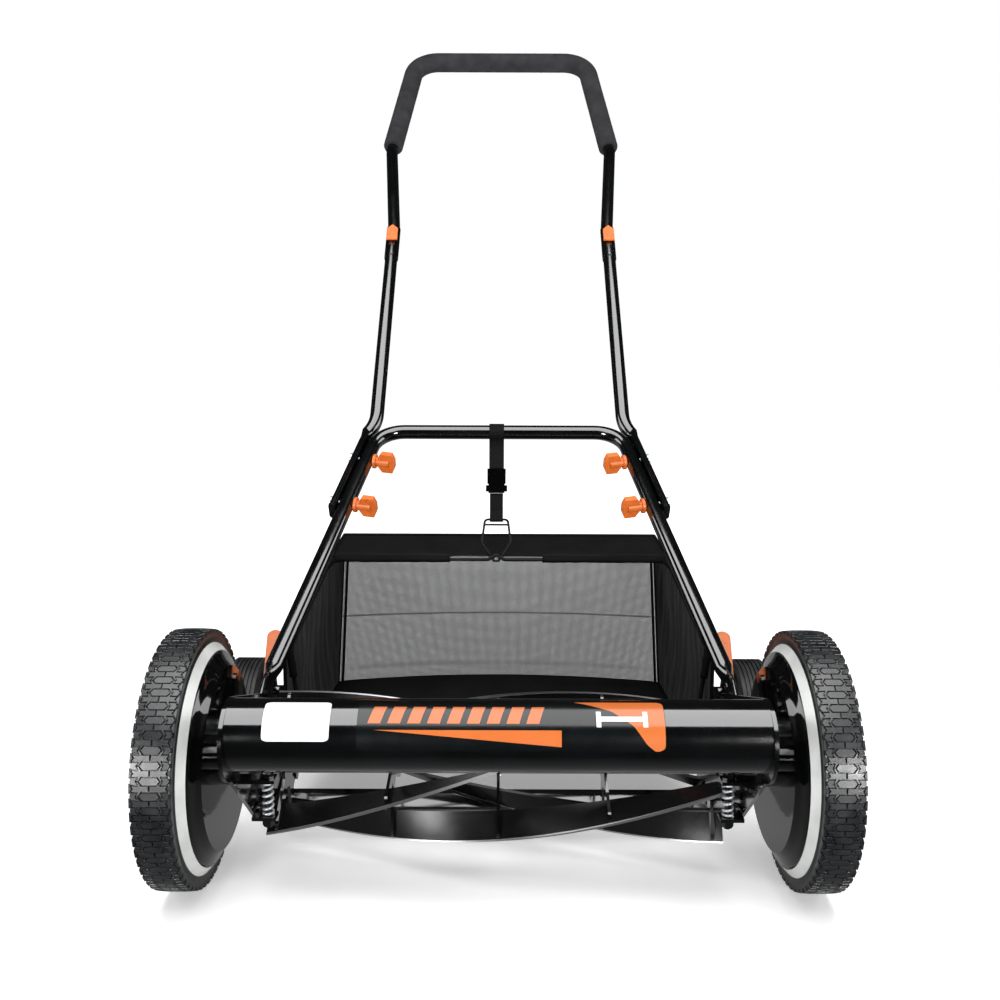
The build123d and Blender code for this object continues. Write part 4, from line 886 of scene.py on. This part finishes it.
def strap_place(t, n, x=0.0):
    """Place t down the strap from the crossbar, n towards its face, x to the right."""
    return CROSSBAR + STRAP_DOWN * t + STRAP_FRONT * n + Vector((x, 0, 0))


def webbing_strip(name, path, half, thick, material):
    """Webbing along (t, n) points, with rounded selvedges."""
    verts, faces, uvs = [], [], []
    run = 0.0
    for k, (t, n) in enumerate(path):
        before, after = path[max(0, k - 1)], path[min(len(path) - 1, k + 1)]
        ahead = Vector((after[0] - before[0], after[1] - before[1])).normalized()
        out = Vector((-ahead.y, ahead.x))
        run += 0 if k == 0 else math.dist(path[k - 1], path[k])
        for sign in (1, -1):
            for x, share in WEBBING_SECTION:
                shift = out * sign * share * thick / 2
                verts.append(strap_place(t + shift.x, n + shift.y, x * half))
                uvs.append((x * half, run))
    width = len(WEBBING_SECTION)
    for k in range(len(path) - 1):
        a, b = k * 2 * width, (k + 1) * 2 * width
        for i in range(width - 1):
            faces.append((a + i, a + i + 1, b + i + 1, b + i))
            faces.append((b + width + i, b + width + i + 1, a + width + i + 1, a + width + i))
        faces.append((a + width - 1, a + 2 * width - 1, b + 2 * width - 1, b + width - 1))
        faces.append((b, b + width, a + width, a))
    for a in (0, (len(path) - 1) * 2 * width):
        for i in range(width - 1):
            face = (a + i, a + width + i, a + width + i + 1, a + i + 1)
            faces.append(face if a == 0 else face[::-1])
    strip = mesh_object(name, verts, faces, material)
    layer = strip.data.uv_layers.new(name="cloth")
    for loop in strip.data.loops:
        layer.data[loop.index].uv = uvs[loop.vertex_index]
    return strip


def arc_points(t, n, radius, start, end, steps):
    """Points round (t, n) from one angle in degrees to another."""
    points = []
    for k in range(steps + 1):
        angle = math.radians(start + (end - start) * k / steps)
        points.append((t + radius * math.cos(angle), n + radius * math.sin(angle)))
    return points


def make_strap():
    """Webbing looped over the crossbar and threaded through the buckle and the ring."""
    legs = [(LEG_END - LEG_STEP * k, LEG_GAP) for k in range(25)]
    around = arc_points(0, 0, LOOP_R, 24, 336, 30)
    path = legs + around + [(t, -n) for t, n in reversed(legs)]
    upper = webbing_strip("strap_webbing_upper", path, STRAP_HALF, 0.0016, "webbing")
    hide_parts("strap_upper")
    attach(upper, "chassis")
    reach = RING_WIRE_AT - LOWER_START
    front = [(LOWER_START + reach * k / 14, 0.0001 + 0.0026 * (k / 14) ** 2) for k in range(15)]
    turn = arc_points(RING_WIRE_AT, 0, RING_TURN_R, 80, -90, 8)
    back = [(RING_WIRE_AT - 0.0011 * k, 0.00012 * k - RING_TURN_R) for k in range(1, 12)]
    lower = webbing_strip("strap_webbing_lower", front + turn + back, STRAP_HALF - 0.001, 0.0014, "webbing")
    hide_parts("strap_lower")
    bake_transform(lower)


# ---- Springs -----------------------------------------------------------------
SPRING_X, SPRING_Y, SPRING_LOW, SPRING_HIGH = 0.219, -0.053, 0.0905, 0.124
SPRING_TURNS, SPRING_R, SPRING_WIRE_R, CLOSED_RISE = 4.5, 0.0045, 0.0013, 0.0028
SPRING_SEAT, SPRING_STEPS = 0.001, 220


def spring_height(share):
    """Height of the wire's middle at one share of its length; the end turns lie closed."""
    turns = SPRING_TURNS + 2
    if share < 1 / turns:
        return SPRING_LOW + SPRING_SEAT + CLOSED_RISE * share * turns / 2
    if share > 1 - 1 / turns:
        return SPRING_HIGH - SPRING_SEAT - CLOSED_RISE * (1 - share) * turns / 2
    inner = (share - 1 / turns) / (1 - 2 / turns)
    free = SPRING_HIGH - SPRING_LOW - 2 * SPRING_SEAT - CLOSED_RISE
    return SPRING_LOW + SPRING_SEAT + CLOSED_RISE / 2 + free * inner


def make_springs():
    """Compression spring on each adjuster screw, closed at both ends."""
    for word, side in SIDES.items():
        points = []
        for k in range(SPRING_STEPS + 1):
            share = k / SPRING_STEPS
            angle = 2 * math.pi * (SPRING_TURNS + 2) * share
            x = side * SPRING_X + SPRING_R * math.cos(angle)
            points.append((x, SPRING_Y + SPRING_R * math.sin(angle), spring_height(share)))
        spring = tube_along(f"spring_coil_{word}", points, SPRING_WIRE_R, "zinc", 8)
        if word == "left":
            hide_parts("adjuster_springs")
        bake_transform(spring)


# ---- Grip --------------------------------------------------------------------
BEND_Y, BEND_Z = 0.426, 0.4304
GRIP_UP = Vector((0, 0.6745, 0.7383)).normalized()
ELBOW_X, ELBOW_AT, CORNER_X, GRIP_TOP, CORNER_R = 0.184, 0.590, 0.154, 0.847, 0.045
GRIP_R, GRIP_BORE, GRIP_START, SLEEVE_STEP = 0.0165, 0.0097, 0.0082, 0.004


def grip_place(x, r):
    """Place in the slanted plane of the upper handle, r up the slope from its bend."""
    return Vector((x, BEND_Y, BEND_Z)) + GRIP_UP * r


def make_grip():
    """Foam sleeve, pulled a little thin and puckered round its two bends."""
    start = ELBOW_AT + GRIP_START
    start_x = ELBOW_X + (CORNER_X - ELBOW_X) * (start - ELBOW_AT) / (GRIP_TOP - ELBOW_AT)
    corners = [
        grip_place(-start_x, start), grip_place(-CORNER_X, GRIP_TOP), grip_place(CORNER_X, GRIP_TOP),
        grip_place(start_x, start),
    ]
    path = resample(rounded_path(corners, [CORNER_R, CORNER_R], 4), SLEEVE_STEP)
    last = len(path) - 1

    def radius(k, angle):
        ends = min(k, last - k)
        rounding = 0.0022 * max(0, 1 - ends / 1.5) ** 2
        bumps = 0.00022 * noise.noise(Vector((k * 0.9, 2 * math.cos(angle), 2 * math.sin(angle))))
        return GRIP_R - 0.0002 - rounding + bumps

    grip = sweep_rings("foam_sleeve", path, 40, radius, "foam", GRIP_BORE)
    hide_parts("foam_grip")
    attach(grip, "upper_loop")


# ---- Plain labels on the front tube ------------------------------------------
VINYL_THICK, GROUND_LIFT, SHAPE_LIFT, MARK_LIFT = 0.00012, 0.0001, 0.0003, 0.0005
BAR_COUNT, BAR_FIRST, BAR_PITCH, BAR_WIDTH, BAR_SLANT = 9, -112, 17, 11, 5


def tube_patch(name, outline, material, lift):
    """Thin vinyl on the tube. outline holds its low and high angle above the tube's front line,
    in degrees, and a function of v, from 0 at the low edge to 1 at the high edge, that gives the
    left and right x in mm.
    """
    low_angle, high_angle, edge = outline
    rows, columns = 30, 40
    verts, faces = [], []
    for j in range(rows + 1):
        v = j / rows
        left, right = edge(v)
        angle = math.radians(low_angle + (high_angle - low_angle) * v)
        radius = TUBE_R + lift
        for i in range(columns + 1):
            x = (left + (right - left) * i / columns) / 1000
            verts.append((x, TUBE_Y - radius * math.cos(angle), TUBE_Z + radius * math.sin(angle)))
    for j in range(rows):
        for i in range(columns):
            a = j * (columns + 1) + i
            faces.append((a, a + 1, a + columns + 2, a + columns + 1))
    patch = mesh_object(name, verts, faces, material)
    solidify(patch, VINYL_THICK, 1.0)
    smooth_by_angle(patch)
    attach(patch, "chassis")


def rounded_edge(left, right, high, radius):
    """Row ends of a rounded rectangle."""
    def edge(v):
        reach = min(v * high, (1 - v) * high)
        cut = 0
        if reach < radius:
            cut = radius - math.sqrt(max(0, radius**2 - (radius - reach) ** 2))
        return left + cut, right - cut

    return edge


def make_labels():
    """Empty label, and a dark decal with slanted bars, a wedge, a corner shape and a width mark."""
    label_edge, ground_edge = rounded_edge(-202, -144.5, 38, 4), rounded_edge(-121, 143, 47, 3)
    tube_patch("label_plain", (10, 79, label_edge), "vinyl_white", GROUND_LIFT)
    tube_patch("decal_ground", (-4, 82, ground_edge), "vinyl_dark", GROUND_LIFT)
    for k in range(BAR_COUNT):
        def bar(v, left=BAR_FIRST + BAR_PITCH * k):
            return left + BAR_SLANT * v, left + BAR_WIDTH + BAR_SLANT * v

        tube_patch(f"decal_bar_{k}", (38, 68, bar), "vinyl_orange", SHAPE_LIFT)
    tube_patch("decal_wedge", (3, 28, lambda v: (53.5 - 160 * v, 54)), "vinyl_orange", SHAPE_LIFT)
    corner = rounded_edge(66, 142.5, 46, 5)
    sweep = [(0, 134), (0.12, 127), (0.45, 116), (0.75, 97), (0.93, 76), (1, 66)]

    def swoosh(v):
        for (low, left), (high, after) in zip(sweep, sweep[1:]):
            if v <= high:
                return left + (after - left) * (v - low) / (high - low), corner(v)[1]
        return sweep[-1][1], corner(v)[1]

    tube_patch("decal_swoosh", (-3.5, 81, swoosh), "vinyl_orange", SHAPE_LIFT)
    tube_patch("decal_width_bar", (42, 50, lambda v: (88, 124)), "vinyl_white", MARK_LIFT)
    for k, left in enumerate((84, 124)):
        tick = (33, 59, lambda v, left=left: (left, left + 4))
        tube_patch(f"decal_width_tick_{k}", tick, "vinyl_white", MARK_LIFT)


# ---- Camera, floor and light -------------------------------------------------
CAMERA_PLACE, CAMERA_TILT, CAMERA_ROLL = (0.0008, -0.9846, 0.525), 82, 0.2
CAMERA_LENS, CAMERA_SENSOR = 37.08, 36
FLOOR_HALF = 12
LIGHTS = [
    # name, place, aim, size, power
    ("overhead", (0, -0.72, 2.5), (0, -0.72, 0.2), (2.6, 2.76), 84),
    ("front_-1", (-1.3, -2.35, 0.5), (-0.3, 0, 0.15), (0.7, 0.6), 36),
    ("side_-1", (-2.8, 0.6, 1.3), (0, 0.3, 0.3), (1.8, 1.4), 26),
    ("front_1", (1.3, -2.35, 0.5), (0.3, 0, 0.15), (0.7, 0.6), 36),
    ("side_1", (2.8, 0.6, 1.3), (0, 0.3, 0.3), (1.8, 1.4), 26),
    ("rear", (0, 3.2, 1.7), (0, 0.3, 0.3), (2.6, 1.2), 34),
]


def make_camera():
    data = bpy.data.cameras.new("camera")
    data.lens, data.sensor_width = CAMERA_LENS, CAMERA_SENSOR
    data.clip_end = 50
    camera = new_object("camera", data)
    camera.location = CAMERA_PLACE
    camera.rotation_mode = "XYZ"
    tilt = Matrix.Rotation(math.radians(CAMERA_TILT), 4, "X")
    roll = Matrix.Rotation(math.radians(CAMERA_ROLL), 4, "Z")
    camera.matrix_world = Matrix.Translation(camera.location) @ tilt @ roll
    bpy.context.scene.camera = camera


def make_floor():
    corners = [(x * FLOOR_HALF, y * FLOOR_HALF, 0) for x, y in ((-1, -1), (1, -1), (1, 1), (-1, 1))]
    floor = mesh_object("studio_floor", corners, [(0, 1, 2, 3)], "floor", smooth=False)


def area_light(name, place, aim, size, power):
    data = bpy.data.lights.new(name, "AREA")
    data.shape = "RECTANGLE"
    data.size, data.size_y = size
    data.energy = power
    light = new_object(name, data)
    light.location = place
    light.rotation_mode = "QUATERNION"
    light.rotation_quaternion = (Vector(aim) - Vector(place)).to_track_quat("-Z", "Y")
    return light


def make_light():
    """White surroundings that glossy parts see as a dark room, and soft boxes round the mower."""
    world = bpy.data.worlds.new("studio")
    world.use_nodes = True
    nodes, links = world.node_tree.nodes, world.node_tree.links
    background = nodes["Background"]
    path = nodes.new("ShaderNodeLightPath")
    level = remap(nodes, links, path.outputs["Is Camera Ray"], 0.3, 1, 0, 1)
    dimmer = remap(nodes, links, path.outputs["Is Glossy Ray"], 1, 0.05, 0, 1)
    both = combine(nodes, links, level, dimmer, "MULTIPLY")
    background.inputs["Color"].default_value = (1, 1, 1, 1)
    links.new(both, background.inputs["Strength"])
    bpy.context.scene.world = world
    bpy.context.scene.view_settings.view_transform = "Standard"
    for name, place, aim, size, power in LIGHTS:
        light = area_light(name, place, aim, size, power)
        light.visible_glossy = name != "rear"


def make_floor_material():
    """White paper that glows, more strongly further out: painted light, which also lights the mower from
    below; glossy parts see instead a dim painted reflection of it, darker at the front.
    """
    parts = new_material("glowing_floor_paper", (0.9, 0.9, 0.9), 0.7)
    MATERIALS["floor"] = surface_detail(
        parts, [(0.88, 0.88, 0.88), (0.91, 0.91, 0.91)], (0.65, 0.75), 3, 200, 0.02
    )
    _, nodes, links, shader = parts
    place = object_coords(nodes, links)
    reach = vector_math(nodes, links, "LENGTH", place)
    # Painted light: the paper glows, from 0.9 near the mower to 1.8 further out.
    shader.inputs["Emission Color"].default_value = (1, 1, 1, 1)
    glow = remap(nodes, links, reach, 0.3, 0.8, 0.9, 1.8)
    links.new(glow, shader.inputs["Emission Strength"])
    axes = nodes.new("ShaderNodeSeparateXYZ")
    links.new(place, axes.inputs["Vector"])
    # Painted reflection: glossy rays see a separate dim glow, darker at the front and brighter to the rear.
    painted_reflection = nodes.new("ShaderNodeEmission")
    painted_reflection.inputs["Color"].default_value = (1, 1, 1, 1)
    links.new(remap(nodes, links, axes.outputs["Y"], 0.02, 0.25, -0.3, 0.1), painted_reflection.inputs["Strength"])
    path = nodes.new("ShaderNodeLightPath")
    mix = nodes.new("ShaderNodeMixShader")
    links.new(path.outputs["Is Glossy Ray"], mix.inputs["Fac"])
    links.new(shader.outputs["BSDF"], mix.inputs[1])
    links.new(painted_reflection.outputs["Emission"], mix.inputs[2])
    links.new(mix.outputs["Shader"], nodes["Material Output"].inputs["Surface"])


make_floor_material()
dress_frame()
for word, sign in SIDES.items():
    make_tyre(word, sign)
make_catcher()
make_strap()
make_springs()
make_grip()
make_labels()
make_camera()
make_floor()
make_light()
